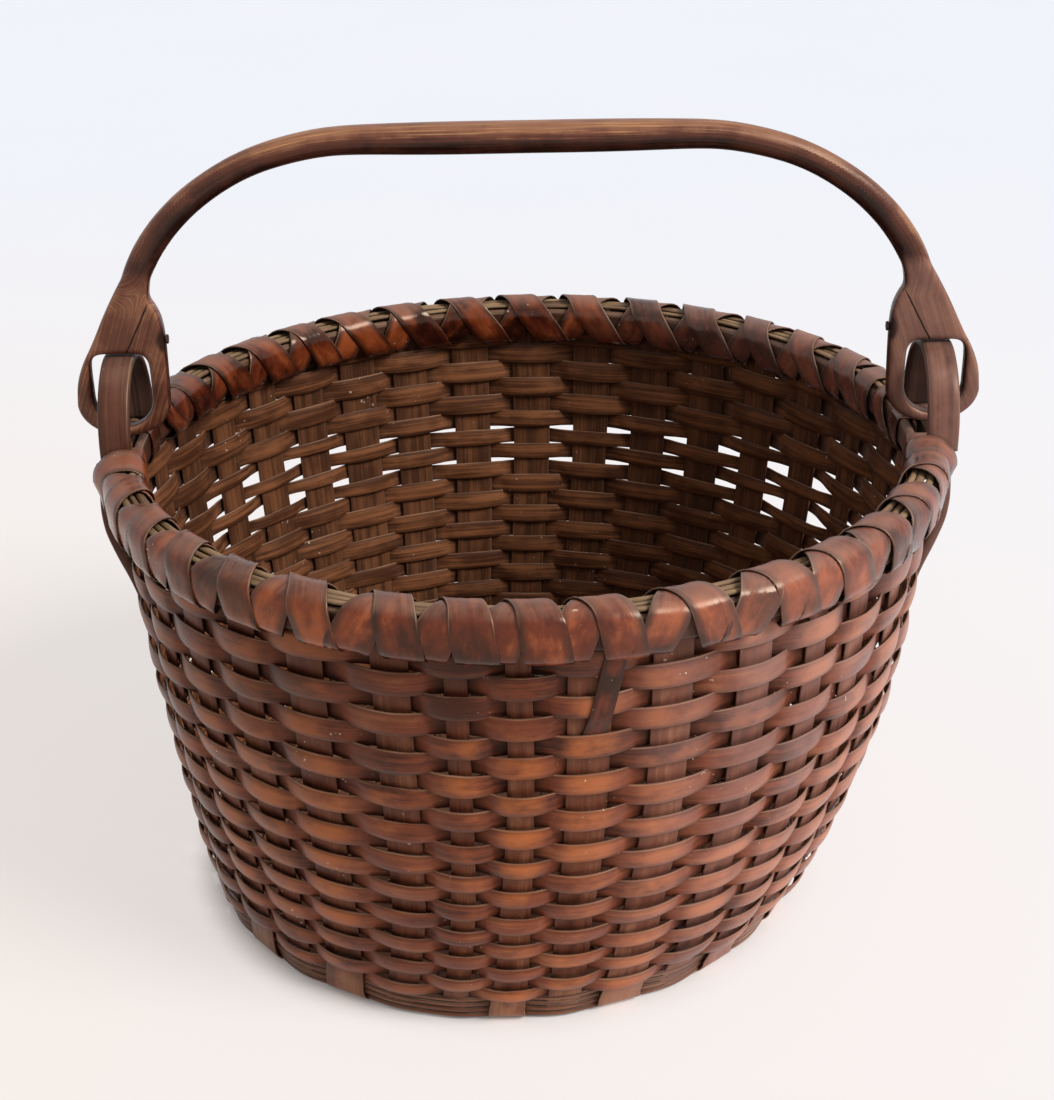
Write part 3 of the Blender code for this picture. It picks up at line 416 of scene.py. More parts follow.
class Shader:
    """Writes the nodes of a material or a world."""

    def __init__(self, owner):
        owner.use_nodes = True
        self.owner = owner
        self.nodes = owner.node_tree.nodes
        self.links = owner.node_tree.links

    def put(self, socket, value):
        """Link or set a socket: three numbers are a colour as on screen."""
        if isinstance(value, Value):
            self.links.new(value.socket, socket)
        elif isinstance(value, tuple) and len(value) == 3:
            socket.default_value = linear(*value)
        else:
            socket.default_value = value

    def give(self, **values):
        """Link or set sockets of the principled shader, named with underscores."""
        for name, value in values.items():
            self.put(self.nodes["Principled BSDF"].inputs[name.replace("_", " ")], value)

    def add(self, kind, output, inputs=(), **settings):
        """A new node's output, after its settings and inputs are made."""
        node = self.nodes.new("ShaderNode" + kind)
        for name, value in settings.items():
            setattr(node, name, value)
        for name, value in inputs:
            self.put(node.inputs[name], value)
        return Value(self, node.outputs[output])

    def math(self, operation, first, second=0, clamp=False):
        """One of the sums of two values."""
        return self.add("Math", 0, ((0, first), (1, second)), operation=operation, use_clamp=clamp)

    def mix(self, factor, first, second):
        """One colour into another."""
        return self.add("Mix", 2, (("Factor", factor), (6, first), (7, second)), data_type="RGBA")

    def blend(self, factor, first, second):
        """One value into another."""
        return self.add("Mix", 0, (("Factor", factor), (2, first), (3, second)))

    def split(self, vector):
        """The three parts of a vector."""
        first = self.add("SeparateXYZ", 0, ((0, vector),))
        return [Value(self, socket) for socket in first.socket.node.outputs]

    def noise(self, vector, stretch=None, scale=1, detail=2, roughness=0.5):
        """Noise of a vector that may be stretched by three factors."""
        if stretch:
            vector = self.add("VectorMath", 0, ((0, vector), (1, list(stretch))), operation="MULTIPLY")
        inputs = (("Vector", vector), ("Scale", scale), ("Detail", detail), ("Roughness", roughness))
        return self.add("TexNoise", 0, inputs)

    def inputs(self):
        """The grain's place, the four parts of the mask and the place on the object."""
        return (self.add("Attribute", "Vector", attribute_name="grain"),
                *self.split(self.add("Attribute", "Color", attribute_name="mask")),
                self.add("Attribute", "Alpha", attribute_name="mask"), self.add("TexCoord", "Object"))

    def seen(self):
        """Whether the camera, a reflection or a refraction looks."""
        camera, mirrored, through = [self.add("LightPath", f"Is {kind} Ray")
                                     for kind in ("Camera", "Glossy", "Transmission")]
        return self.math("ADD", camera, mirrored + through, clamp=True)

    def upward(self):
        """How far the surface faces up."""
        return self.split(self.add("NewGeometry", "Normal"))[2]

    def bump(self, height, distance):
        """Bump on the shader's normal."""
        self.give(Normal=self.add("Bump", 0, (("Strength", 1), ("Distance", distance), ("Height", height))))

    def surface(self, output, factor, first, second):
        """Two shaders mixed, as what is seen."""
        mixed = self.add("MixShader", 0, ((0, factor), (1, first), (2, second)))
        self.put(self.nodes[output].inputs["Surface"], mixed)


def splint_look(name, dark, middle, light, worn, inner_dark, inner_light, gloss=(0.34, 0.6),
                    dust=0.55, fibre=(26, 1300), depth=0.16 * MM, specks=1, wear=1, streaky=0.5,
                    edge_shade=0.5, shine=0.3, shade=1):
    """Old split wood: fibres, stains, worn crests, a matt inside, dust and pale upper edges, darker towards
    the top, with painted shade on the left, in the dips and along the edges, and a painted sheen on the
    right.
    """
    shader = Shader(bpy.data.materials.new(name))
    mix, noise = shader.mix, shader.noise
    grain, tone, crest, inside, edge, place = shader.inputs()
    fine = noise(grain, (fibre[0], fibre[1], 53), detail=3, roughness=0.6)
    coarse = noise(grain, (fibre[0] * 0.5, fibre[1] * 0.26, 31))
    blot = noise(grain, (30, 75, 17), detail=4, roughness=0.62)
    stain = noise(place, scale=34, detail=4, roughness=0.6)
    cloud = noise(place, scale=10)
    streak = (fine * 0.5 + coarse * 0.5).step(0.36, 0.66)
    blotch = (blot * 0.5 + stain * 0.5).step(0.38, 0.63)
    body = streak * (streaky * 0.7) + blotch * ((1 - streaky) * 0.7) + (tone - 0.15) * 0.42
    outer = mix(body.step(0.08, 0.55), dark, middle)
    outer = mix(body.step(0.5, 0.95), outer, light)
    rubbed_bare = crest.step(0.6, 1) * (blotch * 0.45 + cloud.step(0.35, 0.65) * 0.55).step(0.3, 0.95)
    outer = mix(rubbed_bare * (0.8 * wear), outer, worn)
    inner = mix((streak * 0.6 + blotch * 0.4).step(0.1, 0.95), inner_dark, inner_light)
    across, _, height = shader.split(place)
    rightwards = across.step(-200 * MM, 190 * MM)
    # Painted shade: the outside darker on the left, away from the lamp, and darker towards the top; shade
    # sets how much, here and for the painted sheen below.
    left_shade_and_dark_top = (1 - rightwards) * 0.42 + height.step(120 * MM, 235 * MM) * 0.2
    outer = mix(left_shade_and_dark_top * shade, outer, (50, 19, 12))
    colour = mix(inside, outer, inner)
    # Painted shade in the dips, where a splint passes behind another and its crest share is low.
    colour = mix(crest.step(0.5, 0.05) * 0.7, colour, (24, 11, 7))
    # Painted shade along the edges, in patches.
    colour = mix(edge.step(0.45, 0.98) * stain.step(0.3, 0.6) * edge_shade, colour, (34, 15, 10))
    # A pale line along the very edges that face up.
    pale_upper_edge = edge.step(0.93, 1) * fine.step(0.42, 0.62) * shader.upward().step(-0.1, 0.6)
    colour = mix(pale_upper_edge * 0.5, colour, (176, 142, 112))
    settled = shader.upward().step(0.5, 0.97) * (stain * 0.6 + fine * 0.4).step(0.3, 0.66) * dust
    colour = mix(settled, colour, (150, 114, 98))
    sheen = (1 - inside) * rightwards.step(0.5, 1) * (stain * 0.5 + crest * 0.5).step(0.3, 0.9)
    colour = mix(sheen * (0.42 * shade), colour, (186, 148, 140))
    speck = noise(place, scale=420, detail=1).step(0.735, 0.77)
    speck = speck * noise(place, scale=24, detail=1).step(0.55, 0.7)
    colour = mix(speck * (0.7 * specks), colour, (222, 208, 188))
    rough = shader.blend(inside, shader.blend(crest.step(0.3, 0.9), gloss[1], gloss[0]), 0.66)
    rough = shader.blend(settled, rough + (blotch - 0.5) * 0.16, 0.85)
    shader.give(Base_Color=colour, Roughness=rough, Specular_Tint=(1, 0.78, 0.62, 1),
                Specular_IOR_Level=shine)
    shader.bump(fine * 0.6 + coarse * 0.8 + blot * 1.2, depth)
    return shader.owner


# Each with its dark, middle, light and worn colour outside, and its dark and light colour inside
WEAVE_LOOK = splint_look(
    "weaver_look", (62, 24, 15), (130, 64, 40), (162, 96, 62), (204, 116, 62), (70, 38, 22), (140, 88, 56),
    streaky=0.45,
)
FOOT_LOOK = splint_look(
    "foot_look", (56, 26, 18), (112, 66, 46), (150, 104, 78), (160, 112, 82), (62, 34, 22), (118, 78, 52),
    streaky=0.45, edge_shade=1, wear=0.6, shade=0.7,
)
UPRIGHT_LOOK = splint_look(
    "upright_look", (74, 36, 25), (122, 68, 47), (164, 112, 82), (166, 110, 78), (64, 36, 21), (118, 73, 46),
    gloss=(0.4, 0.55), fibre=(12, 800), depth=0.13 * MM, wear=0.4, streaky=0.4, edge_shade=0.35,
)
LASH_LOOK = splint_look(
    "lashing_look", (34, 12, 8), (106, 43, 24), (160, 82, 46), (204, 104, 50), (54, 30, 20), (100, 66, 44),
    gloss=(0.2, 0.42), dust=0.62, streaky=0.1, fibre=(12, 420), wear=0.8, edge_shade=0.95, shine=0.42, shade=0.5,
)
HOOP_LOOK = splint_look(
    "hoop_look", (40, 20, 14), (84, 50, 34), (120, 80, 54), (140, 96, 64), (50, 31, 22), (96, 66, 46),
    gloss=(0.42, 0.6), fibre=(10, 800),
)
FILLER_LOOK = splint_look(
    "filler_look", (98, 72, 52), (152, 124, 92), (184, 156, 118), (184, 156, 118), (98, 72, 52),
    (152, 124, 92), gloss=(0.6, 0.7), dust=0.2, specks=0, shade=0.2,
)
EAR_LOOK = splint_look(
    "ear_look", (60, 28, 20), (120, 74, 56), (148, 102, 84), (160, 112, 92), (44, 26, 22), (92, 62, 52),
    gloss=(0.3, 0.48), fibre=(9, 700), dust=0.35, streaky=0.6, depth=0.1 * MM,
)


def wood_look():
    """The bent stick: dark wood with painted light, lighter above with a golden painted highlight, a painted
    sheen on the right eye and painted shade in the eye holes, with its scarfs and nail holes.
    """
    shader = Shader(bpy.data.materials.new("handle_look"))
    mix, noise = shader.mix, shader.noise
    grain, flat, crest, ring, edge, place = shader.inputs()
    across, _, height = shader.split(place)
    fine = noise(grain, (18, 1500, 53), detail=4, roughness=0.62)
    coarse = noise(grain, (11, 420, 31), detail=3)
    stain = noise(place, scale=42, detail=4, roughness=0.6)
    streak = (fine * 0.5 + coarse * 0.5).step(0.36, 0.64)
    # Painted light: the stick lighter where it faces up, on its upper side and on the eyes' flat faces,
    # mixed with its streaks and stains.
    lit = shader.upward().step(-0.25, 0.9) * 0.62 + streak * 0.3 + stain.step(0.35, 0.68) * 0.24
    lit = lit + crest * 0.14 + flat * 0.36
    colour = mix(lit.step(0.12, 0.72), (30, 15, 13), (90, 48, 36))
    colour = mix(lit.step(0.6, 1.12), colour, (146, 99, 74))
    # Painted highlight: golden streaks where the painted light is strongest.
    golden_highlight = fine.step(0.52, 0.66) * lit.step(0.62, 1.05) * shader.blend(flat, 0.75, 0.25)
    colour = mix(golden_highlight, colour, (198, 148, 98))
    # Painted sheen, mauve, on the right eye's flat faces.
    right_web_sheen = mix(0.4, colour, (142, 106, 98))
    colour = mix(flat * across.step(-150 * MM, 150 * MM), colour, right_web_sheen)
    worn = edge.step(0.55, 0.95) * stain.step(0.38, 0.62)
    colour = mix(worn * 0.55, colour, (158, 100, 76))
    # Painted shade on the inner faces of the eye holes.
    colour = mix(ring.step(0.2, 0.9) * 0.8, colour, (34, 18, 16))
    outward = shader.math("ABSOLUTE", across)
    (x1, z1), (x2, z2) = SCARF_LINE
    length = math.hypot(x2 - x1, z2 - z1)
    offset = (outward - x1) * ((z2 - z1) / length) - (height - z1) * ((x2 - x1) / length)
    offset = offset + (stain - 0.5) * (2.2 * MM)
    crack = shader.math("ABSOLUTE", offset).step(0.55 * MM, 0.15 * MM)
    crack = crack * height.step(EYE_TOP - MM, EYE_TOP) * height.step(340 * MM, 335 * MM)
    crack = crack * outward.step(190 * MM, 191 * MM)
    nail_out = outward - NAIL_PLACE[0]
    nail_up = (height - NAIL_PLACE[1]) * 0.55
    nail = shader.math("SQRT", nail_out * nail_out + nail_up * nail_up)
    dark = shader.math("MAXIMUM", crack, nail.step(4.6 * MM, 2.2 * MM) * 0.85)
    colour = mix(dark, colour, (16, 9, 8))
    shader.give(Base_Color=colour, Roughness=stain * 0.25 + 0.22, Specular_Tint=(1, 0.84, 0.72, 1),
                Specular_IOR_Level=0.35)
    shader.bump(fine * 0.5 + coarse * 0.9 - crack * 3, 0.2 * MM)
    return shader.owner


def iron_look():
    """Rusted iron."""
    shader = Shader(bpy.data.materials.new("iron_look"))
    rust = shader.noise(shader.add("TexCoord", "Object"), scale=900, detail=4, roughness=0.65)
    shader.give(Base_Color=shader.mix(rust.step(0.4, 0.62), (38, 32, 32), (92, 56, 38)),
                Roughness=shader.blend(rust, 0.45, 0.85), Metallic=0.35)
    shader.bump(rust, 0.25 * MM)
    return shader.owner


WOOD_LOOK = wood_look()
IRON_LOOK = iron_look()


# Weaving


def weave_height(crossing):
    """The spiral's height, its rounds a little wider towards the rim."""
    share = np.asarray(crossing, float) / (ROUNDS * UPRIGHTS)
    mean = (WEAVE_HIGH - WEAVE_LOW) / (ROUNDS + WEAVE_WIDTH)
    low = WEAVE_LOW + mean * WEAVE_WIDTH * (1 - SPREAD) / 2
    high = WEAVE_HIGH - mean * WEAVE_WIDTH * (1 + SPREAD) / 2
    eased = share * (1 - SPREAD) + SPREAD * share * share
    return low + (high - low) * eased


def weaver_width(crossing):
    """The weavers' width, a share of the pitch."""
    return WEAVE_WIDTH * (weave_height(crossing + UPRIGHTS / 2) - weave_height(crossing - UPRIGHTS / 2))


def make_weave():
    """The spiral weavers, each length as its own piece."""
    rng = np.random.default_rng(SEED)
    samples, gap, run_in, run_out = 12, 0.012, 27, 28
    per_length = ROUNDS_PER_LENGTH * UPRIGHTS
    total = WEAVER_LENGTHS * per_length + 2 * UPRIGHTS
    rise = np.clip(rng.normal(0, 0.22, total), -0.5, 0.5) * MM
    swell = 1 + rng.normal(0, 0.1, total)
    wide = 1 + rng.normal(0, 0.03, total)
    tilt = rng.normal(0, 0.06, total)
    tones = clipped(0.5 + rng.normal(0, 0.28, total))
    knots = np.arange(total) - UPRIGHTS
    for number in range(WEAVER_LENGTHS):
        start = number * per_length - (1 - number % 2) - (0 if number else run_in)
        end = (number + 1) * per_length - (number % 2) + (run_out if number == WEAVER_LENGTHS - 1 else 0)
        s = np.linspace(start + gap, end - gap, (end - start) * samples + 1)
        wave = np.cos(np.pi * s)
        wave = wave * (1.18 - 0.18 * wave * wave)
        slip = np.interp(s % UPRIGHTS, *WINDOWS) * MM
        height = weave_height(s) + np.interp(s, knots, rise)
        narrow = 0
        for parting in PARTINGS:
            for beyond, shift, less in PARTED_ROUNDS:
                here = slip * (np.floor(s / UPRIGHTS) == parting + beyond)
                height = height + here * shift
                narrow = narrow + here * less
        begun = np.maximum((weave_height(s + UPRIGHTS) - weaver_width(s) / 2 - WEAVE_LOW) / 2, MM)
        height = np.where(s < 0, WEAVE_LOW + begun, height)
        point, out, _, up = wall_frame(leaning(s, height), height)
        damp = np.clip((246 * MM - height) / (8 * MM), 0.25, 1)
        offset = (0.65 * MM + 2.75 * MM * wave * damp) * np.interp(s, knots, swell) - 1.6 * MM * (1 - damp)
        centres = point + out * offset[:, None]
        lean = np.interp(s, knots, tilt)[:, None]
        across = unit(up * np.cos(lean) + out * np.sin(lean))
        width = weaver_width(s) * np.interp(s, knots, wide) * (1.07 + 0.06 * np.abs(wave)) - narrow
        width = np.where(s < 0, 2 * begun, width)
        tone = clipped(np.interp(s, knots, tones) - 0.25 * (height / RIM_HEIGHT - 0.5))
        Pieces().sweep(
            centres, across, out, width / 2, WEAVER / 2, crown=0.6 * MM * np.sign(wave), tone=tone,
            crest=0.5 + 0.5 * wave, under=0.5 - 0.5 * wave, seed=number * 1.7,
        ).finish(f"weave_{number + 1}", WEAVE_LOOK, "weaver_splint", f"weaver_{number + 1}")


def upright_run(index, foot_width, spoke_height, rng):
    """Centres, sides and widths down one upright to the base."""
    high = np.linspace(RIM_HEIGHT + 6 * MM, FOOT_HEIGHT, 44)[:-1]
    turn = np.linspace(0, math.pi / 2, 9)
    sway = jitter(rng, len(high), 14, 0.004) * np.linspace(1, 0, len(high))
    point, out, side, _ = wall_frame(leaning(np.full(len(high), index), high) + sway, high)
    proud = MM if spoke_height < 2 * MM else 0
    point = point + out * (proud * share_of(high, 26 * MM, 14 * MM))[:, None]
    radius = FOOT_RADIUS - CORNER_RUN * (1 - np.cos(turn)) + proud * np.cos(turn)
    height = FOOT_HEIGHT - (FOOT_HEIGHT - spoke_height) * np.sin(turn)
    corner = polar(BASE_SHIFT, radius, leaning(index, FOOT_HEIGHT), height)
    centres = np.vstack([point, corner])
    sides = np.vstack([side, [side[-1]] * len(turn)])
    share = np.linspace(0, 1, len(centres)) ** 2
    width = UPRIGHT_WIDTHS[index] * MM
    widths = width + (foot_width - width) * share + jitter(rng, len(centres), 9, 0.5 * MM)
    return centres, sides, widths


def finish_spoke(node, index, centres, sides, widths, rng, worn=0):
    """The splint of a spoke, its outer face away from the basket's middle."""
    foot_wear = worn * share_of(centres[:, 2], 24 * MM, 14 * MM)
    Pieces().sweep(
        centres, sides, centres - (0, 0, 120 * MM), widths / 2, SPLINT / 2, seed=index * 0.9, under=0.62,
        crown=0.45 * MM * share_of(centres[:, 2], 5 * MM, 35 * MM), crest=0.62 + 0.5 * foot_wear,
        tone=0.5 + jitter(rng, len(centres), 40, 0.3) + foot_wear,
    ).finish("upright_" + node, UPRIGHT_LOOK, node.split("_")[0] + "_spoke_splint", node)


def make_uprights():
    """The spokes with an upright at both ends, and the short ones, narrowing inwards."""
    rng = np.random.default_rng(SEED + 1)
    half_turn = (UPRIGHTS + 1) // 2
    hub_width = 9 * MM
    slope_width = 13 * MM
    for kind, low, odd, *sizes in (("outer", OUTER_LOW, 0, 40, 62, 25),
                                   ("inner", INNER_LOW, 1, 44, 78, 15.5)):
        hub, slope, kind_foot = np.array(sizes) * MM
        for number in range(8):
            first = 2 * number + odd
            foot = kind_foot if first else 21.5 * MM
            down, down_side, down_width = upright_run(first, foot, low, rng)
            rise, rise_side, rise_width = upright_run(first + half_turn, foot, low, rng)
            along = unit(rise[-1] - down[-1])
            reach = np.linalg.norm(rise[-1] - down[-1]) / 2
            distance = np.linspace(-reach, reach, 60)[1:-1]
            away = np.abs(distance)
            under = (down[-1] + rise[-1]) / 2 + along * distance[:, None]
            stacked = (8 * odd + number) * STACK_STEP + OUTER_LOW - low
            under[:, 2] = low + stacked * ease(share_of(away, slope, hub))
            under_width = (hub_width + (slope_width - hub_width) * share_of(away, 0, slope)
                           + (foot - slope_width) * share_of(away, slope, reach))
            across = unit(np.cross(ZENITH[0], along))
            across = across * np.sign(np.dot(across, down_side[-1]))
            centres = np.vstack([down, under, rise[::-1]])
            sides = np.vstack([down_side, [across] * len(under), -rise_side[::-1]])
            widths = np.concatenate([down_width, under_width, rise_width[::-1]])
            finish_spoke(f"{kind}_spoke_{number + 1}", first, centres, sides, widths, rng, 0.7)
    for node, index, low, foot, reach, room, turn in (
            ("outer_short_spoke_1", half_turn - 2, OUTER_LOW, 17 * MM, 13 * MM, 0.52, -1),
            ("outer_short_spoke_2", UPRIGHTS - 1, INNER_LOW - 0.6 * MM, 15 * MM, 48 * MM, 0.36, 0),
            ("inner_short_spoke", half_turn - 1, INNER_LOW, 15.5 * MM, 10 * MM, 0.52, 3.6)):
        down, down_side, down_width = upright_run(index, foot, low, rng)
        radius = np.linspace(FOOT_RADIUS - CORNER_RUN, reach, 20)[1:]
        wedge = np.maximum(room * (radius - reach), 0.4 * MM) + MM
        bend = np.radians(turn) * clipped(np.linspace(0, 1.7, 19))
        under = polar(BASE_SHIFT, radius, leaning(index, FOOT_HEIGHT) + bend, low)
        sides = np.vstack([down_side, [down_side[-1]] * len(under)])
        widths = np.concatenate([down_width, np.minimum(np.linspace(foot, 18 * MM, 19), wedge)])
        finish_spoke(node, index, np.vstack([down, under]), sides, widths, rng)


def make_bottom():
    """A narrow spiral between the two sets of spokes under the basket."""
    rng = np.random.default_rng(SEED + 2)
    inner, outer, edge, half_width = np.array((67.5, 163.8, 166.6, 2.8)) * MM
    rounds = 15
    count = (rounds + 1) * UPRIGHTS * 6 + 1
    s = np.linspace(0, (rounds + 1) * UPRIGHTS, count)
    pitch = (outer - inner) / rounds
    half = np.clip((pitch * (rounds + 1 - s / UPRIGHTS) - 0.7 * MM) / 2, 0.35 * MM, half_width)
    radius = np.minimum(inner + pitch * s / UPRIGHTS, edge - half)
    centres = polar(BASE_SHIFT, radius, even_angle(s), 2.7 * MM + 0.75 * MM * np.cos(np.pi * s))
    Pieces().sweep(
        centres, -sideways(centres, ZENITH), -ZENITH, half + jitter(rng, count, 13, 0.2 * MM), 0.5 * MM,
        tone=0.5 + jitter(rng, count, 9, 0.3), under=0.55, seed=3.3,
    ).finish("bottom_weave", WEAVE_LOOK, "bottom_splint", "woven_bottom")


def make_foot_rounds():
    """Narrow rounds behind the outer spokes and over the inner ones."""
    rng = np.random.default_rng(SEED + 3)
    count = UPRIGHTS * 10
    s = np.arange(count) / 10
    wave = np.cos(np.pi * s)
    wave = np.where(s > UPRIGHTS - 1, -wave, np.where(s > UPRIGHTS - 2, -1, wave))
    for number, heights in enumerate(((2.9 * MM, 7.4 * MM), (11.9 * MM,), (16.4 * MM,))):
        pieces = Pieces()
        for mean in heights:
            height = mean + jitter(rng, count, 25, 0.3 * MM, True)
            point, out, _, up = wall_frame(leaning(s, height), np.maximum(height, FOOT_HEIGHT))
            point[:, 2] = height
            offset = (-0.8 - 1.3 * wave - 2.6 * share_of(height, FOOT_HEIGHT, 0)) * MM
            centres = point + out * offset[:, None]
            half = (1.55 + 0.75 * share_of(centres[:, 1], 0, 60 * MM)) * MM
            pieces.sweep(
                centres, up, out, half, 0.7 * MM, closed=True, crown=0.4 * MM, seed=5 + number,
                tone=0.5 + jitter(rng, count, 12, 0.3, True), crest=0.5 - 0.5 * wave, under=0.5 + 0.5 * wave,
            )
        pieces.finish(f"foot_weave_{number + 1}", FOOT_LOOK, "weaver_splint", f"foot_round_{number + 1}")


# Rim


def make_hoops():
    """The two hoops, half round."""
    count = 210
    angle = 2 * np.pi * np.arange(count) / count
    for way, kind, middle, half, side in (("out", "outer", 4.75 * MM, 3.1 * MM, 1),
                                          ("in", "inner", -7 * MM, 2.8 * MM, -1)):
        Pieces().sweep(
            rim_point(angle, middle, -MM), ZENITH, polar(0, side, angle, 0), 7.8 * MM, half,
            closed=True, edge=2.6 * MM, crest=0.55, under=0.4, seed=9 + side,
        ).finish(f"hoop_{way}side", HOOP_LOOK, "hoop_wood", kind + "_hoop")


def make_fillers():
    """Thin strands side by side on the hoops."""
    rng = np.random.default_rng(SEED + 4)
    count = 150
    free = EAR_FREE - 0.01
    for half, start in HALVES:
        angle = np.linspace(start + free, start + math.pi - free, count)
        for side_name, places in (("inner", (-5.4,)), ("outer", (-0.9, 3.6))):
            pieces = Pieces()
            for number, middle in enumerate(places):
                out = middle * MM + jitter(rng, count, 9, 0.45 * MM)
                centres = rim_point(angle, out, 8.5 * MM + jitter(rng, count, 7, 0.6 * MM))
                pieces.sweep(
                    centres, polar(0, 1, angle, 0), ZENITH, 2 * MM + jitter(rng, count, 11, 0.4 * MM),
                    MM, section=round_section(10), tone=0.5 + jitter(rng, count, 10, 0.4),
                    seed=number * 2.2, square=False,
                )
            name = f"{half}_{side_name}_"
            pieces.finish(name + "strands", FILLER_LOOK, "filler_splint", name + "filler")


def lash_loop(count):
    """The loop of one turn, smoothed, with its outward directions, evenly spaced."""
    loop = spline(np.array(LASH_PATH) * MM, 400)[:-1]
    for _ in range(30):
        loop = (np.roll(loop, 1, 0) + loop * 2 + np.roll(loop, -1, 0)) / 4
    whole = np.vstack([loop, loop[:1]])
    length = lengths(whole)
    place = np.arange(count) / count * length[-1]
    even = np.stack([np.interp(place, length, whole[:, axis]) for axis in (0, 1)], 1)
    along = tangents(even, True)
    return even, np.stack([along[:, 1], -along[:, 0]], 1)


def lash_outs(angle, normals):
    """The outward directions of a turn's points, each at its angle round the rim."""
    return polar(0, 1, angle, 0) * normals[:, :1] + ZENITH * normals[:, 1:]


def closed_turn(pieces, angle, flat, normals, half_width, half_thick, toward=1, tilt=0, **look):
    """One turn that closes on itself, tilted outwards on one side."""
    centres = rim_point(angle, flat[:, 0], flat[:, 1])
    outs = lash_outs(angle, normals)
    side = unit(around(angle) * toward * np.cos(tilt) + outs * np.sin(tilt))
    pieces.sweep(centres, side, outs, half_width, half_thick, closed=True, **look)


def end_turn(pieces, top_angle, toward, rng):
    """One turn close by an ear, leaning up against its leg."""
    loop, normals = lash_loop(TURN_SAMPLES)
    gaps = even_angle(np.arange(UPRIGHTS) + 0.5)
    away = (gaps - top_angle + math.pi) % (2 * math.pi) - math.pi
    low_angle = top_angle + away[np.abs(away).argmin()]
    rise = ease(share_of(loop[:, 1], -LASH_LOW * MM, (20 - LASH_LOW) * MM))
    weight = clipped(np.maximum(normals[:, 1], normals[:, 0])) * clipped(rise * 1.6 - 0.3)
    lift = (1.3 + 0.9 * weight) * MM
    flat = loop + normals * lift[:, None] + jitter(rng, TURN_SAMPLES, 6, 0.15 * MM, True)[:, None]
    angle = low_angle + (top_angle - low_angle) * rise
    closed_turn(pieces, angle, flat, normals, 8.3 * MM, 0.5 * MM, toward, (0.34 * weight)[:, None],
                crown=0.2 * MM, tone=0.2, crest=0.8, seed=17 + top_angle)


def plain_turn(pieces, middle, top, lift, half_width, tone, rng):
    """One square turn, no higher than the top given."""
    loop, normals = lash_loop(TURN_SAMPLES)
    flat = loop + normals * lift
    flat[:, 1] = np.minimum(flat[:, 1], top)
    angle = middle + jitter(rng, TURN_SAMPLES, 15, 0.006, True)
    closed_turn(pieces, angle, flat, normals, half_width, 0.4 * MM, tone=tone, crest=0.7, seed=23 + middle)


def tucked_end(pieces):
    """The lashing's end, tucked under a weaver outside the front wall."""
    height = np.linspace(245, 193, 40)
    angle = np.radians(np.interp(height, *LOOSE_ANGLE))
    lift = np.interp(height, *LOOSE_LIFT) * MM
    point, out, *_ = wall_frame(angle, height * MM)
    centres = point + out * lift[:, None]
    pieces.sweep(centres, sideways(centres, out), out, 5.3 * MM, 0.45 * MM, crown=0.2 * MM, tone=-0.3,
                 crest=0.5, under=0.5, seed=29)


def make_lashing():
    """Two passes that slant opposite ways, and square turns by the ears."""
    rng = np.random.default_rng(SEED + 5)
    samples = 30
    loop, normals = lash_loop(samples)
    for order, direction, lift, lead in (("first", 1, 0, -0.03), ("second", -1, 1.25 * MM, 0.19)):
        for half, start in HALVES:
            first = math.ceil((start + EAR_FREE - even_angle(0.5)) / SPACING)
            last = math.floor((start + math.pi - EAR_FREE - even_angle(0.5)) / SPACING)
            turns = last - first
            count = turns * samples + 1
            step = np.arange(count)
            share = step / samples
            normal = normals[step % samples]
            gap = (first if direction > 0 else first + turns) + direction * share
            sway = clipped(share + 0.5) * clipped(turns - share + 0.3)
            gap = gap + lead * np.sin(np.pi * share) ** 2 * sway
            angle = leaning(gap + 0.5) + jitter(rng, count, samples / 2, 1.5 * MM / RIM_RADIUS)
            ride_up = lift * (0.4 + 0.6 * np.abs(np.cos(2 * np.pi * share)) ** 0.7)
            ride_up = ride_up + 0.12 * MM + jitter(rng, count, 8, 0.2 * MM)
            flat = loop[step % samples] + normal * ride_up[:, None]
            centres = rim_point(angle, flat[:, 0], flat[:, 1])
            width = (8.7 + 2.1 * clipped(normal[:, 0])) * MM
            width = width + jitter(rng, count, samples * 0.7, 0.9 * MM)
            tone = clipped(0.5 + jitter(rng, count, samples / 2, 0.5))
            outs = lash_outs(angle, normal)
            pieces = Pieces().sweep(centres, sideways(centres, outs), outs, width, 0.5 * MM,
                                    crown=0.35 * MM, tone=tone, crest=0.8, seed=11 + direction)
            for middle, toward in ((0, -1), (math.pi, 1)):
                toward = toward if half == "rear" else -toward
                if order == "second":
                    end_turn(pieces, middle - toward * END_TURN_ANGLE, toward, rng)
                    if half == "rear":
                        place = math.radians(163.4 if middle else 18.4)
                        plain_turn(pieces, place, 12 * MM, 1.2 * MM, 8.8 * MM, 0.5, rng)
                elif half == "front":
                    for place in (-19 * MM / RIM_RADIUS, 19 * MM / RIM_RADIUS):
                        plain_turn(pieces, middle + place, 7.05 * MM, 0, 7.9 * MM, 0.3, rng)
            if (half, order) == ("front", "second"):
                tucked_end(pieces)
            name = f"{half}_{order}_"
            pieces.finish(name + "straps", LASH_LOOK, order + "_lashing_splint", name + "lashing")


# Ears and handle


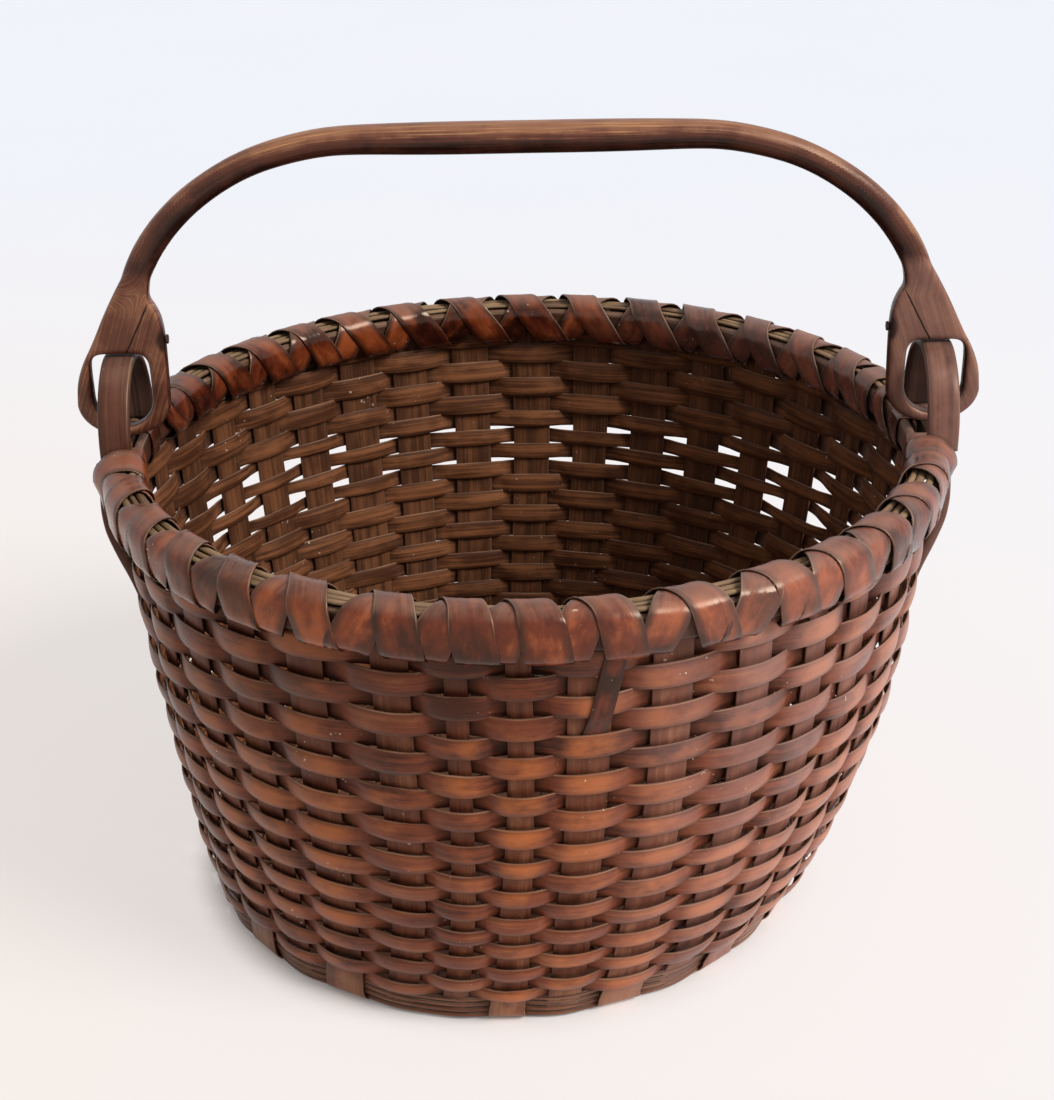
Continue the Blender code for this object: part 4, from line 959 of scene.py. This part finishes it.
def make_ears():
    """Bent straps over the handle's eyes, with tails tucked outside the wall."""
    turn = math.pi * np.arange(41) / 40
    leg = np.linspace(RIM_HEIGHT + 7 * MM, HINGE_HEIGHT, 5)[:-1]
    aside = np.concatenate([[-1] * 4, -np.cos(turn), [1] * 4]) * EAR_HALF
    height = np.concatenate([leg, HINGE_HEIGHT + EAR_RISE * np.sin(turn), leg[::-1]])
    count = len(height)
    # The strap's crest share, lower at the top of the bend, which paints shadow there under the handle's
    # eye.
    wear = 0.62 - 0.42 * np.sin(np.linspace(0, math.pi, count)) ** 12
    drop = np.linspace(TAIL_DROP[-1], TAIL_DROP[0], 44)
    lift = smoothed(np.interp(drop, TAIL_DROP, TAIL_OUT), 5) * MM
    half = np.interp(drop, TAIL_DROP, TAIL_HALF) * MM
    for name, side in (("left", -1), ("right", 1)):
        hinge = np.array((side * HINGE_RADIUS, 0, HINGE_HEIGHT))
        around_hinge = np.stack([np.zeros(count), aside, height - HINGE_HEIGHT], 1)
        pieces = Pieces().sweep(
            hinge + around_hinge, np.array([[1, 0, 0]]), around_hinge, 8.5 * MM, 2.3 * MM, edge=1.5 * MM,
            crown=0.2 * MM, crest=wear, seed=13 + side,
        )
        for lengthwise in (-1, 1):
            angle = EAR_ANGLE * lengthwise if side > 0 else math.pi - EAR_ANGLE * lengthwise
            on_wall = RIM_HEIGHT + np.minimum(drop, 0) * MM
            point, outward, edgewise, _ = wall_frame(np.full(44, angle), on_wall)
            point[:, 2] = RIM_HEIGHT + drop * MM
            level = outward * (1, 1, 0)
            centres = point + unit(level) * lift[:, None]
            pieces.sweep(centres, edgewise, level, np.linspace(3.1, 2.3, 44) * MM, half, edge=1.1 * MM,
                         under=0.6, tone=0.4, seed=15 + side + lengthwise)
        pieces.finish(f"{name}_strap_ear", EAR_LOOK, "ear_wood", f"{name}_ear")


def stick_path():
    """The handle's middle line, left to right, with its two thicknesses."""
    grip, end_x, end_z = 422.2, 204.6, 351.3
    across, down = np.array(ARM_PATH).T
    share = np.linspace(0, 1, len(across))
    thick = np.interp(share, (0, 0.5, 1), (14.8, 13.8, 15))
    deep = np.interp(share, (0, 0.5, 1), (14.5, 12.4, 11.2))
    arm = np.stack([95 + (end_x - 95) * across, grip - (grip - end_z) * down, thick, deep], 1)
    end = ((end_x + 216.5) / 2, (end_z + 310.5) / 2, 12, 9)
    right = np.vstack([(0, grip, 16.6, 18), (47.5, grip, 16.6, 18), arm, end])
    left = right[:0:-1] * (-1, 1, 1, 1)
    return smoothed(spline(np.vstack([left, right]) * MM, 220), 50)


def bowl(half, high, low, count):
    """The lower half of an oval round the hinge, from right to left."""
    return [(HINGE_RADIUS + half * math.cos(turn), high - (high - low) * math.sin(turn))
            for turn in np.linspace(0, math.pi, count)]


def eye_curves(side):
    """The outlines of one eye and its hole, as smooth closed curves."""
    eye_side = HINGE_HEIGHT + 15.6 * MM
    half = 24.8 * MM
    rise = EYE_TOP + 49.5 * MM - eye_side
    web_out = HINGE_RADIUS - 9.8 * MM
    out_side = HINGE_RADIUS + half
    outer = [(out_side + (web_out - out_side) * a, eye_side + rise * u) for u, a in WEB_OUTER]
    inner = [(HINGE_RADIUS - half + half * a, eye_side + rise * u) for u, a in WEB_INNER]
    bottom = bowl(half, eye_side, HINGE_HEIGHT - 3 * MM, 25)[1:-1]
    outline = spline(np.array(outer[::-1] + bottom + inner), 200)
    half = 15.6 * MM
    hole = bowl(half, eye_side + 3 * MM, HINGE_HEIGHT + 3 * MM, 21)
    corner = half / 3
    corners = [(half, 1.6 * corner), (half - 0.25 * corner, 0.5 * corner), (half - corner, 0)]
    hole += [(HINGE_RADIUS - out, EYE_TOP - down) for out, down in corners]
    hole.append((HINGE_RADIUS, EYE_TOP + 0.3 * MM))
    hole += [(HINGE_RADIUS + out, EYE_TOP - down) for out, down in corners[::-1]]
    hole = spline(np.array(hole + hole[:1]), 120)[:-1]
    return outline * (side, 1), hole * (side, 1)


def make_plate(outlines, depth, bevel):
    """A plate in the XZ plane with rounded edges, as a mesh."""
    curve = bpy.data.curves.new("eye_plate", "CURVE")
    curve.dimensions = "2D"
    curve.fill_mode = "BOTH"
    curve.extrude = depth / 2 - bevel
    curve.bevel_depth = bevel
    curve.bevel_resolution = 3
    curve.offset = -bevel
    for outline in outlines:
        strand = curve.splines.new("POLY")
        strand.points.add(len(outline) - 1)
        for point, (x, z) in zip(strand.points, outline):
            point.co = (x, z, 0, 1)
        strand.use_cyclic_u = True
    mesh = take_mesh(add_object("eye_plate", curve))
    mesh.transform(Matrix.Rotation(math.pi / 2, 4, "X"))
    return mend(mesh, merge=0.005 * MM)


def make_bail():
    """The handle: a bent stick with flat eyes, melted into one skin."""
    path = stick_path()
    centres = np.insert(path[:, :2], 1, 0, 1)
    square = tangents(centres)[:, ::-1] * (-1, 0, 1)
    stick = Pieces().sweep(centres, square, np.array([[0, 1, 0]]), path[:, 2] / 2, path[:, 3] / 2,
                           section=round_section(24))
    eyes = [make_plate(eye_curves(side), 10 * MM, 2.6 * MM) for side in (-1, 1)]
    rough = add_object("bail_rough", mend(stick.mesh("bail_rough"), eyes))
    remesh = rough.modifiers.new("Skin", "REMESH")
    remesh.mode = "VOXEL"
    remesh.voxel_size = 0.9 * MM
    smooth = rough.modifiers.new("Soft", "SMOOTH")
    smooth.factor = 0.5
    smooth.iterations = 10
    skin = take_mesh(rough)
    skin.name = "bail_skin"
    points = np.zeros(len(skin.vertices) * 3)
    skin.vertices.foreach_get("co", points)
    grain, mask = bail_grain(points.reshape(-1, 3), centres)
    show("bent_handle", skin, grain, mask, WOOD_LOOK, "handle", ["bail"])


def bail_grain(points, centres):
    """The grain's place and the mask on the handle's skin."""
    nearest = np.zeros(len(points), int)
    for first in range(0, len(points), 4000):
        part = points[first:first + 4000]
        nearest[first:first + 4000] = ((part[:, None, ::2] - centres[None, :, ::2]) ** 2).sum(2).argmin(1)
    arm = points - centres[nearest]
    across, depth, height = points.T
    outward = np.abs(across)
    depth = np.abs(depth)
    turn = np.arctan2(arm[:, 1], np.where(outward < 170 * MM, arm[:, 2], arm[:, 0]))
    web = outward - HINGE_RADIUS + (height - EYE_TOP) * 0.35 + points[:, 1] * 0.5
    share = share_of(height, EYE_TOP + 45 * MM, EYE_TOP + 25 * MM)
    grain = np.stack([lengths(centres)[nearest], turn * 7.5 * MM * (1 - share) + web * share,
                      np.full(len(points), 21)], 1)
    # The stick's upper side, which the handle's look paints lighter.
    top = clipped(0.5 + arm[:, 2] / (16 * MM))
    crest = np.where(outward < 150 * MM, 0.35 + 0.65 * top, 0.55)
    flat = share_of(height, EYE_TOP + 48 * MM, EYE_TOP + 42 * MM)
    # The eye holes' inner faces, which the handle's look paints in shade.
    within = np.abs(outward - HINGE_RADIUS) < 16.6 * MM
    hole = within & (height > HINGE_HEIGHT + MM) & (height < EYE_TOP + 1.2 * MM)
    side_face = share_of(depth, 4.6 * MM, 3.4 * MM)
    edge = flat * clipped(1 - np.abs(depth - 4.2 * MM) / (0.9 * MM))
    return grain, np.stack([flat * share_of(depth, 3.4 * MM, 4.6 * MM), crest, hole * side_face, edge], 1)


def make_nails():
    """The nails keep their solids and get rusted iron."""
    for node in ("left_nail", "right_nail"):
        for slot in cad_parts[node].material_slots:
            slot.material = IRON_LOOK


# Stage


def make_floor():
    """A pale floor, part of whose brightness only the camera sees, with a painted contact shadow round the
    basket.
    """
    bpy.ops.mesh.primitive_plane_add(size=14, location=(0, 0, -0.3 * MM))
    floor = bpy.context.object
    floor.name = "floor"
    shader = Shader(bpy.data.materials.new("floor_look"))
    place = shader.add("TexCoord", "Object")
    aside, back, _ = shader.split(place)
    tint = shader.mix(aside.step(-0.9, 0.7), (248, 238, 230), (250, 246, 247))
    tint = shader.mix(back.step(-0.2, 1.7), tint, (240, 243, 251))
    tint = shader.mix(shader.noise(place, scale=3).step(0.3, 0.8) * 0.15, tint, (250, 248, 248))
    shader.give(Base_Color=tint, Roughness=0.85, Specular_IOR_Level=0.1)
    aside = aside - BASE_SHIFT
    # Painted contact shadow: the camera-only glow fades out near and under the basket.
    outside_painted_shadow = shader.math("SQRT", aside * aside + back * back).step(160 * MM, 190 * MM)
    lit = Value(shader, shader.nodes["Principled BSDF"].outputs[0])
    glow = shader.add("Emission", 0, (("Color", tint),))
    shader.surface("Material Output", shader.seen() * outside_painted_shadow * 0.72, lit, glow)
    floor.data.materials.append(shader.owner)


def make_lights():
    """A pale world and one broad lamp from the right and the front."""
    world = bpy.data.worlds.new("studio")
    shader = Shader(world)
    lit, seen = [shader.add("Background", 0, (("Color", colour), ("Strength", strength)))
                 for colour, strength in (((1, 0.985, 0.965, 1), 0.4), ((0.86, 0.89, 0.95, 1), 1))]
    shader.surface("World Output", shader.seen(), lit, seen)
    bpy.context.scene.world = world
    data = bpy.data.lights.new("key", "SUN")
    data.energy = 2.9
    data.angle = math.radians(24)
    data.color = (1, 0.985, 0.96)
    shining = Vector((-0.70, 0.42, -0.72))
    add_object("key", data).rotation_euler = shining.to_track_quat("-Z", "Y").to_euler()


def make_camera():
    """The camera at the photograph's place."""
    data = bpy.data.cameras.new("camera")
    data.lens = FOCAL
    data.sensor_width = 36
    camera = add_object("camera", data)
    tilted = Matrix.Rotation(math.pi / 2 - PITCH, 4, "X") @ Matrix.Rotation(ROLL, 4, "Z")
    camera.matrix_world = Matrix.Translation(CAMERA_PLACE) @ tilted
    bpy.context.scene.camera = camera


bpy.context.scene.view_settings.view_transform = "Standard"
make_camera()
make_lights()
make_floor()
make_uprights()
make_bottom()
make_foot_rounds()
make_weave()
make_hoops()
make_fillers()
make_lashing()
make_ears()
make_bail()
make_nails()
